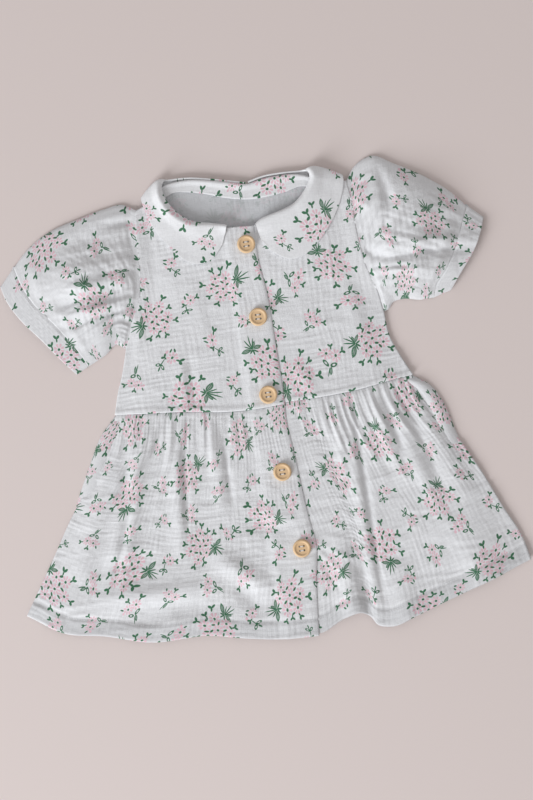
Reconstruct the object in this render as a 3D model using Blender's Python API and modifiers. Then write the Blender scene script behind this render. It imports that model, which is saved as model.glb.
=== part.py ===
"""A child's button-front dress with puff sleeves and a flat round collar, laid out flat on its back.

The dress lies in the XY plane with its neck towards +Y and its front facing +Z. Lengths in the tables are
millimetres, measured from the middle of the waist seam, and right and left are the wearer's.
The finished model is moved so that its origin is the middle of its box, at the bottom.
"""

import math
from collections import namedtuple

import bmesh
import bpy
from mathutils import Vector

MM = 0.001
DRESS = "laid_flat_dress"

# Cloth, and the room between its layers
CLOTH = 1.1
COLLAR_CLOTH = 1.8
SEAM_GAP = 0.4
CUFF_SEAM_GAP = 0.6
LAY_GAP = 0.5
OVERLAP_LIFT = CLOTH + LAY_GAP
OVERLAP_START = -23.0
OVERLAP_RAMP = 11.0

# How far the layers stand off each other
FRONT_BASE = CLOTH + LAY_GAP
NECK_LIFT = 2.3
NECK_LIFT_START = 132.0
NECK_LIFT_RAMP = 36.0
SHOULDER_RISE = 2.6
SHOULDER_RISE_START = 96.0
SHOULDER_RISE_RAMP = 48.0
BODICE_LOFT = 2.6
SKIRT_LOFT = 3.3
LOFT_RAMP = 38.0

# The gathers below the waist seam
GATHER_SEAM_SHARE = 0.45
GATHER_PEAK = 0.12

# The sleeves and their elastic cuffs
SLEEVE_EDGE = 2.9
SLEEVE_EDGE_BULGE = 0.8
HEAD_GATHERS = 5
CUFF_GATHERS = 8
HEAD_GATHER_HEIGHT = 1.3
CUFF_GATHER_HEIGHT = 0.9

# The collar's roll at the neck
ROLL_HEIGHT = 3.6
ROLL_UNDER_RISE = 0.8
BAND_DROP = 3.4
COLLAR_FLOOR = COLLAR_CLOTH + 0.05
COLLAR_TOP_BACK = 4.7
SHOULDER_BULGE = 5.0

# The wooden buttons
BUTTON_RADIUS = 9.0
BUTTON_THICKNESS = 3.6
BUTTON_DISH_RADIUS = 6.3
BUTTON_DISH_DEPTH = 0.9
BUTTON_HOLE_RADIUS = 1.0
BUTTON_HOLE_OFFSET = 1.9
BUTTON_SIDES = 20
HOLE_SIDES = 6

# Rows and columns of the walls
ARMHOLE_ROWS = 8
SIDE_ROWS = 5
BODICE_COLUMNS = 16
BACK_COLUMNS = 20
SEAM_ROW = 0.02
SKIRT_ROWS = 8
GATHER_STEPS = 2
PLAIN_COLUMNS = 5
SLEEVE_ROWS = 9
CUFF_ROWS = 2
UNDERSIDE_COLUMNS = ARMHOLE_ROWS

CLOTH_COLOUR = (0.86, 0.87, 0.89, 1.0)
COLLAR_COLOUR = (0.88, 0.89, 0.91, 1.0)
WOOD_COLOUR = (0.72, 0.50, 0.29, 1.0)

Place = namedtuple("Place", "x y")
Fold = namedtuple("Fold", "x0 y0 x1 y1 width height")
Gather = namedtuple("Gather", "at height reach")
Loft = namedtuple("Loft", "share height")
CollarSection = namedtuple("CollarSection", "roll_x roll_y outer_x outer_y band wrap")


def places(*rows):
    return [Place(*row) for row in rows]


# The cut edges of the right front, which lies on top at the buttons
ARMHOLE_RIGHT = places((-101, 206), (-104, 187), (-106, 152), (-111, 120), (-120, 98), (-131, 72))
SIDE_RIGHT = places((-131, 72), (-139, 46), (-146, 28), (-152, 7.5))
WAIST_RIGHT = places((-152, 7.5), (-125, 4.5), (-80, 0), (-40, -6), (-15, -7.5), (17.5, -6.5))
EDGE_BODICE = places((13, 173.5), (13, 140), (16.5, 105), (17.5, 60), (18, 10), (17.5, -6.5))
EDGE_SKIRT = places((17.5, -6.9), (17, -18), (20, -60), (25, -125), (28, -148), (23, -185), (17.5, -240))
SHOULDER_RIGHT = places((-101, 206), (-80, 213))
NECK_RIGHT = places(
    (-80, 213), (-78, 205), (-72, 196), (-60, 186.5), (-45, 180), (-28, 176.5), (0, 174.5), (13, 173.5)
)
SKIRT_SIDE_RIGHT = places((-151, 7), (-163, -26), (-186, -56), (-204, -79), (-237, -130), (-268.5, -178))
HEM_RIGHT = places(
    (-268.5, -178), (-232, -201), (-195, -209), (-150, -222), (-90, -224), (-55, -232), (-20, -238),
    (17.5, -240),
)

# The cut edges of the left front, which runs on under the right front as far as the button stand
ARMHOLE_LEFT = places((111, 204.5), (113, 187), (114, 150), (118, 118), (125, 95), (129, 71))
SIDE_LEFT = places((129, 71), (131, 46), (139, 24), (148.5, 3.5))
WAIST_LEFT = places((-10, -5.5), (18, -5), (60, -5), (95, -3), (120, 0.5), (148.5, 3.5))
STAND_BODICE = places((-10, 174.5), (-10, -5.5))
STAND_SKIRT = places((-10, -6), (-8, -90), (-1, -148), (-9, -234))
SHOULDER_LEFT = places((81, 208.5), (111, 204.5))
NECK_LEFT = places(
    (-10, 174.5), (3, 173.5), (18, 174.5), (36, 178), (56, 182.5), (70, 190), (78, 199), (81, 208.5)
)
SKIRT_SIDE_LEFT = places(
    (147, 3), (153, -18), (165, -38), (182, -62), (203, -104), (219, -142), (232, -170), (238, -196)
)
HEM_LEFT = places(
    (-9, -234), (20, -237.5), (47, -226), (62, -223.5), (70, -228), (77, -238), (90, -241.5), (115, -235),
    (150, -224), (190, -212), (238, -196),
)

# The cut edges of the back, which the whole dress lies on
NECK_BACK = places(
    (-80, 213), (-66, 222.5), (-45, 223.5), (-20, 219), (0, 214), (12, 211), (26, 213.5), (45, 214.5),
    (63, 214), (81, 208.5),
)
SKIRT_SIDE_BACK_RIGHT = places(
    (-151.5, 7), (-170, -13), (-184, -38), (-200, -69), (-208, -86), (-236, -130.5), (-267.5, -177)
)
SKIRT_SIDE_BACK_LEFT = places(
    (148, 3), (164, -9), (176, -31), (182, -56), (190, -80), (202, -104), (218, -142), (231, -170), (237, -194)
)
HEM_BACK = places(
    (-267.5, -177), (-225, -198), (-150, -216), (-60, -221), (50, -217), (95, -229), (150, -219), (237, -194)
)

# The facing inside the back neck
FACING_TOP = places(
    (-64, 221), (-45, 222), (-20, 217.5), (0, 212.5), (12, 209.5), (26, 212), (45, 213), (62, 212)
)
FACING_BOTTOM = places(
    (-62, 217.5), (-46, 216), (-30, 212), (-10, 205), (12, 200.5), (32, 200.5), (50, 202.5), (65, 205.5)
)

# The outline of each sleeve, from the armhole to the cuff
SLEEVE_TOP_RIGHT = places(
    (-101.4, 206), (-113, 213), (-133, 211.5), (-160, 205.5), (-190, 197), (-215, 182), (-230, 167)
)
SLEEVE_UNDER_RIGHT = places((-131.4, 72), (-139, 77), (-152, 69), (-171, 60))
CUFF_SEAM_RIGHT = places((-171, 60), (-180, 78), (-197, 104), (-216, 130), (-225, 149), (-230, 167))
CUFF_EDGE_RIGHT = places((-184, 53.5), (-197, 70), (-213, 92), (-232, 117), (-242, 136), (-246, 150))
SLEEVE_TOP_LEFT = places(
    (111.4, 204.5), (121, 217), (140, 225), (160, 214.5), (190, 196), (212, 178), (226, 162)
)
SLEEVE_UNDER_LEFT = places((129.4, 71), (133, 72), (140, 79), (150, 80.5), (168, 77), (181, 77.5))
CUFF_SEAM_LEFT = places((181, 77.5), (183, 86), (196, 103), (208, 122), (217, 142), (226, 162))
CUFF_EDGE_LEFT = places((199, 82), (212, 99), (225, 115), (236, 135), (241, 148))

SLEEVE_LOFT_RIGHT = [Loft(0, 8), Loft(0.2, 15), Loft(0.55, 16), Loft(0.85, 12), Loft(1, 9)]
CUFF_LOFT_RIGHT = [Loft(0, 9), Loft(1, 8.6)]
SLEEVE_LOFT_LEFT = [Loft(0, 9), Loft(0.2, 22), Loft(0.55, 22), Loft(0.85, 15), Loft(1, 11)]
CUFF_LOFT_LEFT = [Loft(0, 11), Loft(1, 9.5)]

# The gathers of each skirt front: the share of its waist seam, the height, and how far down the skirt it dies out
GATHERS_RIGHT = [
    Gather(0.053, 1.6, 0.30),
    Gather(0.118, 2.3, 0.70),
    Gather(0.177, 1.3, 0.25),
    Gather(0.230, 1.9, 0.50),
    Gather(0.283, 1.4, 0.34),
    Gather(0.336, 2.3, 0.62),
    Gather(0.400, 1.8, 0.52),
    Gather(0.460, 1.2, 0.28),
    Gather(0.520, 1.7, 0.40),
    Gather(0.572, 2.1, 0.52),
    Gather(0.625, 1.6, 0.44),
    Gather(0.684, 1.2, 0.26),
    Gather(0.743, 0.9, 0.20),
]
GATHERS_LEFT = [
    Gather(0.353, 1.0, 0.22),
    Gather(0.397, 1.4, 0.32),
    Gather(0.442, 1.5, 0.38),
    Gather(0.480, 2.0, 0.52),
    Gather(0.524, 1.5, 0.32),
    Gather(0.568, 2.4, 0.66),
    Gather(0.618, 1.5, 0.38),
    Gather(0.669, 1.7, 0.42),
    Gather(0.713, 2.2, 0.50),
    Gather(0.757, 1.6, 0.32),
    Gather(0.808, 2.2, 0.62),
    Gather(0.858, 1.5, 0.36),
    Gather(0.909, 2.0, 0.52),
    Gather(0.959, 1.3, 0.30),
]

# The main folds of the body, as ridges and, where the height is negative, troughs
BODY_FOLDS = [
    Fold(-96, -8, -107, -150, 8, 4.2),
    Fold(-88, -18, -96, -140, 5, -2.4),
    Fold(-57, -8, -60, -110, 6, 3.4),
    Fold(-49, -12, -49, -100, 4, -2.2),
    Fold(-124, -6, -176, -175, 9, 3.6),
    Fold(-140, -10, -165, -130, 6, -2.2),
    Fold(-150, -15, -215, -150, 12, 2.6),
    Fold(-230, -182, -70, -172, 16, 3.4),
    Fold(-235, -196, -60, -196, 9, -2.6),
    Fold(-75, -145, -18, -198, 13, 3.4),
    Fold(-62, -176, -26, -214, 8, -2.4),
    Fold(76, -6, 79, -250, 7, 4.2),
    Fold(85, -8, 86, -215, 5, -3.2),
    Fold(66, -8, 66, -95, 5, 2.6),
    Fold(101, -6, 122, -95, 6, 3.2),
    Fold(112, -8, 128, -70, 4, -2.2),
    Fold(118, -6, 158, -150, 9, 4.0),
    Fold(130, -6, 164, -120, 6, -2.4),
    Fold(143, -4, 188, -130, 10, 3.2),
    Fold(50, -140, 58, -262, 11, 6.5),
    Fold(70, -170, 71, -262, 5, -3.0),
    Fold(105, -175, 108, -262, 14, 3.2),
    Fold(170, -150, 200, -235, 16, 2.8),
    Fold(-78, 62, -82, -6, 6, 1.5),
    Fold(-70, 55, -72, 2, 5, -1.2),
    Fold(-110, 100, -122, 60, 6, 1.6),
    Fold(32, 34, 50, -4, 7, 1.5),
    Fold(96, 120, 104, 40, 8, 1.2),
    Fold(-58, 130, -50, 60, 9, 1.0),
]
SLEEVE_FOLDS_RIGHT = [
    Fold(-101, 199, -142, 196, 5, -3.6),
    Fold(-104, 206, -160, 201, 6, 2.6),
    Fold(-132, 160, -228, 163, 8, -3.2),
    Fold(-120, 178, -222, 176, 9, 2.4),
    Fold(-112, 128, -195, 121, 5, -2.6),
    Fold(-110, 138, -200, 133, 7, 1.8),
    Fold(-116, 116, -190, 108, 5, 1.9),
    Fold(-122, 106, -192, 99, 4, -1.9),
    Fold(-130, 99, -182, 88, 5, 1.6),
]
SLEEVE_FOLDS_LEFT = [
    Fold(106, 186, 134, 176, 15, 4.6),
    Fold(140, 222, 140, 118, 8, -5.2),
    Fold(152, 208, 214, 158, 14, 3.8),
    Fold(112, 132, 216, 136, 12, -7.5),
    Fold(128, 114, 208, 119, 6, 4.6),
    Fold(128, 103, 205, 100, 8, -1.6),
]

COLLAR_RIGHT = [
    CollarSection(-14, 175.5, -20, 160, 1.0, 0),
    CollarSection(-21, 177.5, -31, 148, 1.2, 0),
    CollarSection(-31, 179.5, -44, 143.5, 1.8, 0),
    CollarSection(-44, 181.5, -58, 148, 2.8, 0),
    CollarSection(-56, 187, -71, 162, 3.8, 0),
    CollarSection(-66, 196, -82, 178, 4.5, 0),
    CollarSection(-73, 207, -89, 194, 4.5, 0),
    CollarSection(-76, 217, -92.5, 207, 4.0, 0),
    CollarSection(-75, 225, -93.5, 215, 3.0, 0.3),
    CollarSection(-71, 229, -92, 217, 2.0, 0.62),
    CollarSection(-64, 229.7, -84, 206, 0.8, 1),
    CollarSection(-46, 229.2, -62, 193, 0.2, 1),
    CollarSection(-20, 224, -28, 187, 0.2, 1),
    CollarSection(11, 216, 11, 181, 0.2, 1),
]
COLLAR_LEFT = [
    CollarSection(15.5, 173, 18.5, 157, 1.0, 0),
    CollarSection(22, 177, 30, 143, 1.0, 0),
    CollarSection(32, 179.5, 43, 135.5, 1.2, 0),
    CollarSection(44, 182, 58, 137, 1.6, 0),
    CollarSection(56, 186, 74, 148, 2.2, 0),
    CollarSection(67, 194, 90, 166, 2.6, 0),
    CollarSection(75, 204, 101, 184, 2.8, 0),
    CollarSection(78.5, 212, 106.5, 198, 2.6, 0),
    CollarSection(78, 217, 108, 208, 2.2, 0.3),
    CollarSection(75, 219, 106, 210, 1.6, 0.62),
    CollarSection(66, 219.6, 97, 201, 0.8, 1),
    CollarSection(46, 220.6, 62, 186, 0.2, 1),
    CollarSection(28, 219.8, 34, 183, 0.2, 1),
    CollarSection(14, 216.6, 14, 181, 0.2, 1),
]

BUTTONS = places((3, 156), (4, 83), (2.5, 5), (5, -73), (13, -151))


def smooth(value):
    share = min(1.0, max(0.0, value))
    return share * share * (3 - 2 * share)


def spline(rows):
    """A smooth curve through the rows, as a function of the share of its length."""
    points = [Vector(row) for row in rows]
    knots = [0.0]
    for before, after in zip(points, points[1:]):
        knots.append(knots[-1] + (after - before).length)
    slopes = [(b - a) / (t - s) for a, b, s, t in zip(points, points[1:], knots, knots[1:])]
    tangents = [slopes[0]]
    for i in range(1, len(points) - 1):
        before, after = knots[i] - knots[i - 1], knots[i + 1] - knots[i]
        tangents.append((slopes[i - 1] * after + slopes[i] * before) / (before + after))
    tangents.append(slopes[-1])

    def at(share):
        reached = min(1.0, max(0.0, share)) * knots[-1]
        i = min(len(slopes) - 1, max(0, sum(1 for knot in knots if knot <= reached) - 1))
        span = knots[i + 1] - knots[i]
        t = (reached - knots[i]) / span
        start = points[i] * (1 - t * t * (3 - 2 * t)) + tangents[i] * (span * t * (1 - t) ** 2)
        return start + points[i + 1] * (t * t * (3 - 2 * t)) + tangents[i + 1] * (span * t * t * (t - 1))

    return at


def joined(first, second, share):
    """Two curves end to end, the first over the given share."""

    def at(t):
        return first(t / share) if t < share else second((t - share) / (1 - share))

    return at


def chorded(curve, segments):
    """The straight segments between even steps along a curve, so that two pieces share one seam."""
    corners = [curve(i / segments) for i in range(segments + 1)]

    def at(share):
        place = min(1.0, max(0.0, share)) * segments
        i = min(segments - 1, int(place))
        return corners[i].lerp(corners[i + 1], place - i)

    return at


def moved(curve, x, y):
    """A curve shifted across the table."""
    step = Vector((x, y))
    return lambda share: curve(share) + step


def patch(left, right, top, bottom):
    """A sheet between four edges: left and right run down it, top and bottom run across it."""

    def at(u, v):
        between = left(v) * (1 - u) + right(v) * u + top(u) * (1 - v) + bottom(u) * v
        corners = (top(0) * (1 - u) + top(1) * u) * (1 - v) + (bottom(0) * (1 - u) + bottom(1) * u) * v
        return between - corners

    return at


def steps(count):
    return [i / count for i in range(count + 1)]


def fold_rise(folds, x, y):
    """How far the folds lift or sink the cloth at a place."""
    rise = 0.0
    for fold in folds:
        along = Vector((fold.x1 - fold.x0, fold.y1 - fold.y0))
        offset = Vector((x - fold.x0, y - fold.y0))
        share = offset.dot(along) / along.length_squared
        if 0 < share < 1:
            away = (offset - along * share).length / fold.width
            rise += fold.height * math.exp(-away * away) * math.sin(math.pi * share) ** 0.7
    return rise


def height_along(lofts, share):
    """The height that a table of heights gives between its rows."""
    for low, high in zip(lofts, lofts[1:]):
        if share <= high.share:
            return low.height + (high.height - low.height) * smooth((share - low.share) / (high.share - low.share))
    return lofts[-1].height


def outline_x(curves):
    """The x of a side of the dress at a given y, over curves that run down it."""
    rows = [curve(i / 20) for curve in curves for i in range(21)]

    def at(y):
        for high, low in zip(rows, rows[1:]):
            if low.y <= y <= high.y and high.y > low.y:
                return high.x + (low.x - high.x) * (high.y - y) / (high.y - low.y)
        return rows[0].x if y > rows[0].y else rows[-1].x

    return at


armhole_right = chorded(spline(ARMHOLE_RIGHT), ARMHOLE_ROWS)
armhole_left = chorded(spline(ARMHOLE_LEFT), ARMHOLE_ROWS)
side_right = chorded(spline(SIDE_RIGHT), SIDE_ROWS)
side_left = chorded(spline(SIDE_LEFT), SIDE_ROWS)
waist_right = chorded(spline(WAIST_RIGHT), BODICE_COLUMNS)
waist_left = chorded(spline(WAIST_LEFT), BODICE_COLUMNS)
x_right = outline_x([armhole_right, side_right, spline(SKIRT_SIDE_RIGHT)])
x_left = outline_x([armhole_left, side_left, spline(SKIRT_SIDE_LEFT)])


def back_under(x, y):
    """The underside of the back: on the floor, apart from where the collar lies below it."""
    return NECK_LIFT * smooth((y - NECK_LIFT_START) / NECK_LIFT_RAMP)


def front_under(x, y):
    """The underside of the left front, over the back."""
    lowest = FRONT_BASE + SHOULDER_RISE * smooth((y - SHOULDER_RISE_START) / SHOULDER_RISE_RAMP)
    inside = max(0.0, min(x - x_right(y), x_left(y) - x))
    skirt_share = smooth((10 - y) / 60)
    loft = BODICE_LOFT + (SKIRT_LOFT - BODICE_LOFT) * skirt_share
    rise = loft * smooth(inside / LOFT_RAMP) + fold_rise(BODY_FOLDS, x, y) * smooth(inside / 12)
    return lowest + max(0.0, rise)


def overlap_under(x, y):
    """The underside of the right front, which climbs onto the left front at the buttons."""
    return front_under(x, y) + OVERLAP_LIFT * smooth((x - OVERLAP_START) / OVERLAP_RAMP)


def hollows(gathers):
    """Where the cloth is lowest beside each gather: midway to its neighbours, and as far outside the end ones."""
    between = [(a.at + b.at) / 2 for a, b in zip(gathers, gathers[1:])]
    return [2 * gathers[0].at - between[0], *between, 2 * gathers[-1].at - between[-1]]


def gather_rise(gathers):
    """The rise of the small folds below the waist seam, at a column and a row of a skirt panel."""
    ends = hollows(gathers)

    def at(u, v):
        rise = 0.0
        for gather, before, after in zip(gathers, ends, ends[1:]):
            away = (u - gather.at) / (after - gather.at if u > gather.at else gather.at - before)
            if abs(away) < 1:
                seam = GATHER_SEAM_SHARE + (1 - GATHER_SEAM_SHARE) * smooth(v / GATHER_PEAK)
                fade = smooth((gather.reach - v) / (gather.reach - GATHER_PEAK))
                rise += gather.height * seam * fade * (0.5 + 0.5 * math.cos(math.pi * away))
        return rise

    return at


def collection():
    found = bpy.data.collections.new(DRESS)
    bpy.context.scene.collection.children.link(found)
    return found


def material(name, colour, roughness):
    made = bpy.data.materials.new(name)
    made.use_nodes = True
    shader = made.node_tree.nodes["Principled BSDF"]
    shader.inputs["Base Color"].default_value = colour
    shader.inputs["Roughness"].default_value = roughness
    shader.inputs["Metallic"].default_value = 0.0
    made.diffuse_color = colour
    return made


def put(name, bm, finish, group):
    """The object that a mesh becomes, in the dress's collection."""
    mesh = bpy.data.meshes.new(name)
    bm.to_mesh(mesh)
    bm.free()
    mesh.materials.append(finish)
    found = bpy.data.objects.new(name, mesh)
    group.objects.link(found)
    return found


def thicken(cloth, thickness, offset):
    wall = cloth.modifiers.new("wall", "SOLIDIFY")
    wall.thickness = thickness * MM
    wall.offset = offset
    wall.use_even_offset = True
    wall.use_quality_normals = True


def grid(columns, rows, point):
    """A grid of the given columns and rows, each vertex where point(column, row) puts it."""
    bm = bmesh.new()
    across, down = len(columns) - 1, len(rows) - 1
    bmesh.ops.create_grid(bm, x_segments=across, y_segments=down, size=0.5)
    for vert in bm.verts:
        column = round((vert.co.x + 0.5) * across)
        row = round((0.5 - vert.co.y) * down)
        vert.co = Vector(point(columns[column], rows[row])) * MM
    return bm


def panel(name, finish, group, columns, rows, sheet, under):
    """A cloth panel whose underside is under(u, v, place) high over each place of its sheet."""

    def point(u, v):
        place = sheet(u, v)
        return place.x, place.y, under(u, v, place)

    cloth = put(name, grid(columns, rows, point), finish, group)
    thicken(cloth, CLOTH, 1.0)
    return cloth


def held_rows(rows):
    """Rows with one more just inside each end, where the cloth stays level beside a seam."""
    return [rows[0], SEAM_ROW, *rows[1:-1], 1 - SEAM_ROW, rows[-1]]


def held(share):
    return min(1 - SEAM_ROW, max(SEAM_ROW, share))


def bodice(finish, group):
    """The two fronts and the back above the waist."""
    rows_total = ARMHOLE_ROWS + SIDE_ROWS
    rows = held_rows(steps(rows_total))
    armhole_share = ARMHOLE_ROWS / rows_total
    outer_right = joined(armhole_right, side_right, armhole_share)
    outer_left = joined(armhole_left, side_left, armhole_share)
    columns = steps(BODICE_COLUMNS)
    neck_share = 1 - 3 / BODICE_COLUMNS

    right = patch(
        outer_right,
        spline(EDGE_BODICE),
        joined(spline(SHOULDER_RIGHT), spline(NECK_RIGHT), 1 - neck_share),
        waist_right,
    )
    left = patch(
        spline(STAND_BODICE),
        outer_left,
        joined(spline(NECK_LEFT), spline(SHOULDER_LEFT), neck_share),
        waist_left,
    )

    def right_under(u, v, place):
        level = right(u, held(v))
        return overlap_under(level.x, level.y)

    def left_under(u, v, place):
        level = left(u, held(v))
        return front_under(level.x, level.y)

    panel("bodice_front_right", finish, group, columns, rows, right, right_under)
    panel("bodice_front_left", finish, group, columns, rows, left, left_under)

    middle = (waist_right(0), waist_left(1))
    shoulder = 2 / BACK_COLUMNS
    top = joined(
        joined(spline(SHOULDER_RIGHT), spline(NECK_BACK), shoulder / (1 - shoulder)),
        spline(SHOULDER_LEFT),
        1 - shoulder,
    )
    back = patch(outer_right, outer_left, top, lambda u: middle[0].lerp(middle[1], u))
    panel(
        "bodice_back",
        finish,
        group,
        steps(BACK_COLUMNS),
        steps(rows_total),
        back,
        lambda u, v, place: back_under(place.x, place.y),
    )


def gather_columns(gathers):
    """Columns at the top, the foot and the flanks of each gather, and wide ones over the plain stretches."""
    ends = hollows(gathers)
    corners = sorted([*ends, *(gather.at for gather in gathers)])
    fine = [corners[0]]
    for before, after in zip(corners, corners[1:]):
        fine += [before + (after - before) * (i + 1) / GATHER_STEPS for i in range(GATHER_STEPS)]
    before = [corners[0] * share for share in steps(PLAIN_COLUMNS)][:-1] if corners[0] > 0.1 else [0.0]
    after = [corners[-1] + (1 - corners[-1]) * share for share in steps(PLAIN_COLUMNS)][1:]
    return before + fine + (after if corners[-1] < 0.9 else [1.0])


def skirt(finish, group):
    """The two gathered fronts and the back below the waist."""
    rows = held_rows([share ** 1.25 for share in steps(SKIRT_ROWS)])
    right = patch(
        spline(SKIRT_SIDE_RIGHT), spline(EDGE_SKIRT), moved(waist_right, 0, -SEAM_GAP), spline(HEM_RIGHT)
    )
    left = patch(
        spline(STAND_SKIRT), spline(SKIRT_SIDE_LEFT), moved(waist_left, 0, -SEAM_GAP), spline(HEM_LEFT)
    )
    rise_right = gather_rise(GATHERS_RIGHT)
    rise_left = gather_rise(GATHERS_LEFT)

    def right_under(u, v, place):
        level = right(u, held(v))
        return overlap_under(level.x, level.y) + rise_right(u, held(v))

    def left_under(u, v, place):
        level = left(u, held(v))
        return front_under(level.x, level.y) + rise_left(u, held(v))

    columns_right = gather_columns(GATHERS_RIGHT)
    columns_left = gather_columns(GATHERS_LEFT)
    panel("skirt_front_right", finish, group, columns_right, rows, right, right_under)
    panel("skirt_front_left", finish, group, columns_left, rows, left, left_under)

    ends = (waist_right(0), waist_left(1))
    back = patch(
        spline(SKIRT_SIDE_BACK_RIGHT),
        spline(SKIRT_SIDE_BACK_LEFT),
        lambda u: ends[0].lerp(ends[1], u) + Vector((0, -SEAM_GAP)),
        spline(HEM_BACK),
    )
    panel(
        "skirt_back", finish, group, steps(BACK_COLUMNS), steps(SKIRT_ROWS), back, lambda u, v, place: 0.0
    )


def tube(name, finish, group, columns, rows, sheet, top_height):
    """A flattened cloth tube: its upper wall stands top_height(s, t) over the sheet, its lower wall is flat."""
    around = [("top", s) for s in columns]
    around += [("edge", 1.0)]
    around += [("under", 1 - s) for s in steps(UNDERSIDE_COLUMNS)]
    around += [("edge", 0.0), ("top", columns[0])]

    def point(column, t):
        wall, s = column
        place = sheet(s, t)
        if wall == "top":
            return place.x, place.y, top_height(s, t)
        if wall == "under":
            return place.x, place.y, 0.0
        inside = sheet(0.95 if s > 0.5 else 0.05, t)
        out = (place - inside).normalized() * SLEEVE_EDGE_BULGE
        return place.x + out.x, place.y + out.y, SLEEVE_EDGE / 2

    bm = grid(around, rows, point)
    bmesh.ops.remove_doubles(bm, verts=bm.verts, dist=0.01 * MM)
    bmesh.ops.recalc_face_normals(bm, faces=bm.faces)
    cloth = put(name, bm, finish, group)
    thicken(cloth, CLOTH, -1.0)
    return cloth


def puff(lofts, folds, sheet, waves):
    """The height of a sleeve's upper wall."""

    def at(s, t):
        level = held(t)
        place = sheet(s, level)
        full = height_along(lofts, level) - SLEEVE_EDGE
        crown = math.sin(math.pi * s) ** 0.75
        rise = full * crown + fold_rise(folds, place.x, place.y) * crown + waves(s, level) * crown
        return SLEEVE_EDGE + max(0.0, rise)

    return at


def sleeves(finish, group):
    """Each puff sleeve as a flattened tube, and its elastic cuff as another."""

    def sleeve_waves(s, t):
        head = HEAD_GATHER_HEIGHT * math.cos(2 * math.pi * HEAD_GATHERS * s) * smooth((0.35 - t) / 0.35)
        cuff = CUFF_GATHER_HEIGHT * math.cos(2 * math.pi * CUFF_GATHERS * s) * smooth((t - 0.75) / 0.25)
        return head + cuff

    def cuff_waves(s, t):
        return CUFF_GATHER_HEIGHT * math.cos(2 * math.pi * CUFF_GATHERS * s)

    sleeve_columns = steps(2 * CUFF_GATHERS)
    rows = held_rows(steps(SLEEVE_ROWS))
    sides = (
        ("right", armhole_right, SLEEVE_UNDER_RIGHT, SLEEVE_TOP_RIGHT, CUFF_SEAM_RIGHT, CUFF_EDGE_RIGHT, -1),
        ("left", armhole_left, SLEEVE_UNDER_LEFT, SLEEVE_TOP_LEFT, CUFF_SEAM_LEFT, CUFF_EDGE_LEFT, 1),
    )
    lofts = {
        "right": (SLEEVE_LOFT_RIGHT, SLEEVE_FOLDS_RIGHT, CUFF_LOFT_RIGHT),
        "left": (SLEEVE_LOFT_LEFT, SLEEVE_FOLDS_LEFT, CUFF_LOFT_LEFT),
    }
    for side, armhole, under, top, seam, edge, out in sides:
        head = moved(armhole, out * SEAM_GAP, 0)
        cuff_seam = chorded(spline(seam), 2 * CUFF_GATHERS)
        sheet = patch(spline(under), spline(top), lambda s, head=head: head(1 - s), cuff_seam)
        sleeve_loft, folds, cuff_loft = lofts[side]
        tube(
            f"sleeve_{side}",
            finish,
            group,
            sleeve_columns,
            rows,
            sheet,
            puff(sleeve_loft, folds, sheet, sleeve_waves),
        )
        start = moved(cuff_seam, out * CUFF_SEAM_GAP, 0)
        finish_line = spline(edge)
        cuff_sheet = patch(
            lambda t, a=start(0), b=finish_line(0): a.lerp(b, t),
            lambda t, a=start(1), b=finish_line(1): a.lerp(b, t),
            start,
            finish_line,
        )
        tube(
            f"cuff_{side}",
            finish,
            group,
            steps(4 * CUFF_GATHERS),
            steps(CUFF_ROWS),
            cuff_sheet,
            puff(cuff_loft, [], cuff_sheet, cuff_waves),
        )


def collar_half(name, finish, group, sections, ground):
    """Half of the collar: it lies on the front, wraps round the shoulder and lies under the back."""
    places_along = spline([(s.roll_x, s.roll_y, s.outer_x, s.outer_y, 40 * s.wrap, s.band) for s in sections])
    across = [Loft(0.0, 0.0), Loft(0.3, 0.05), Loft(0.62, 0.25), Loft(0.86, 0.8), Loft(1.0, 1.0)]
    seam = len(across)

    def point(u, k):
        roll_x, roll_y, outer_x, outer_y, turn, band = places_along(u)
        wrap = smooth(turn / 40)
        roll, outer = Vector((roll_x, roll_y)), Vector((outer_x, outer_y))
        inward = (roll - outer).normalized()
        step = across[min(k, seam - 1)]
        place = outer.lerp(roll, step.share)
        top = ground(place.x, place.y) + CLOTH + LAY_GAP + ROLL_HEIGHT * step.height
        under = COLLAR_FLOOR + (ROLL_UNDER_RISE if step.share == 1 else 0.0)
        if k == seam:
            place = place + inward * band
            top -= BAND_DROP
            under = COLLAR_TOP_BACK
        bulge = SHOULDER_BULGE * math.sin(math.pi * wrap) * math.sin(math.pi * min(1.0, k / seam))
        return place.x, place.y + bulge, top + (under - top) * wrap

    columns = steps(2 * (len(sections) - 1))
    bm = grid(columns, list(range(seam + 1)), point)
    bmesh.ops.recalc_face_normals(bm, faces=bm.faces)
    return put(name, bm, finish, group)


def collar(finish, group):
    """Both halves of the collar and the facing inside the back neck."""
    for name, sections, ground in (
        ("collar_right", COLLAR_RIGHT, overlap_under),
        ("collar_left", COLLAR_LEFT, front_under),
    ):
        half = collar_half(name, finish, group, sections, ground)
        face_up(half)
        thicken(half, COLLAR_CLOTH, 1.0)
    facing = patch(
        lambda v: Vector(FACING_TOP[0]).lerp(Vector(FACING_BOTTOM[0]), v),
        lambda v: Vector(FACING_TOP[-1]).lerp(Vector(FACING_BOTTOM[-1]), v),
        spline(FACING_TOP),
        spline(FACING_BOTTOM),
    )
    panel(
        "neck_facing",
        finish,
        group,
        steps(18),
        steps(2),
        facing,
        lambda u, v, place: back_under(place.x, place.y) + CLOTH + LAY_GAP,
    )


def face_up(cloth):
    """Turns an open sheet over if the part of it on the front faces down."""
    mesh = cloth.data
    first = max(mesh.polygons, key=lambda face: face.center.z)
    if first.normal.z < 0:
        mesh.flip_normals()


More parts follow.
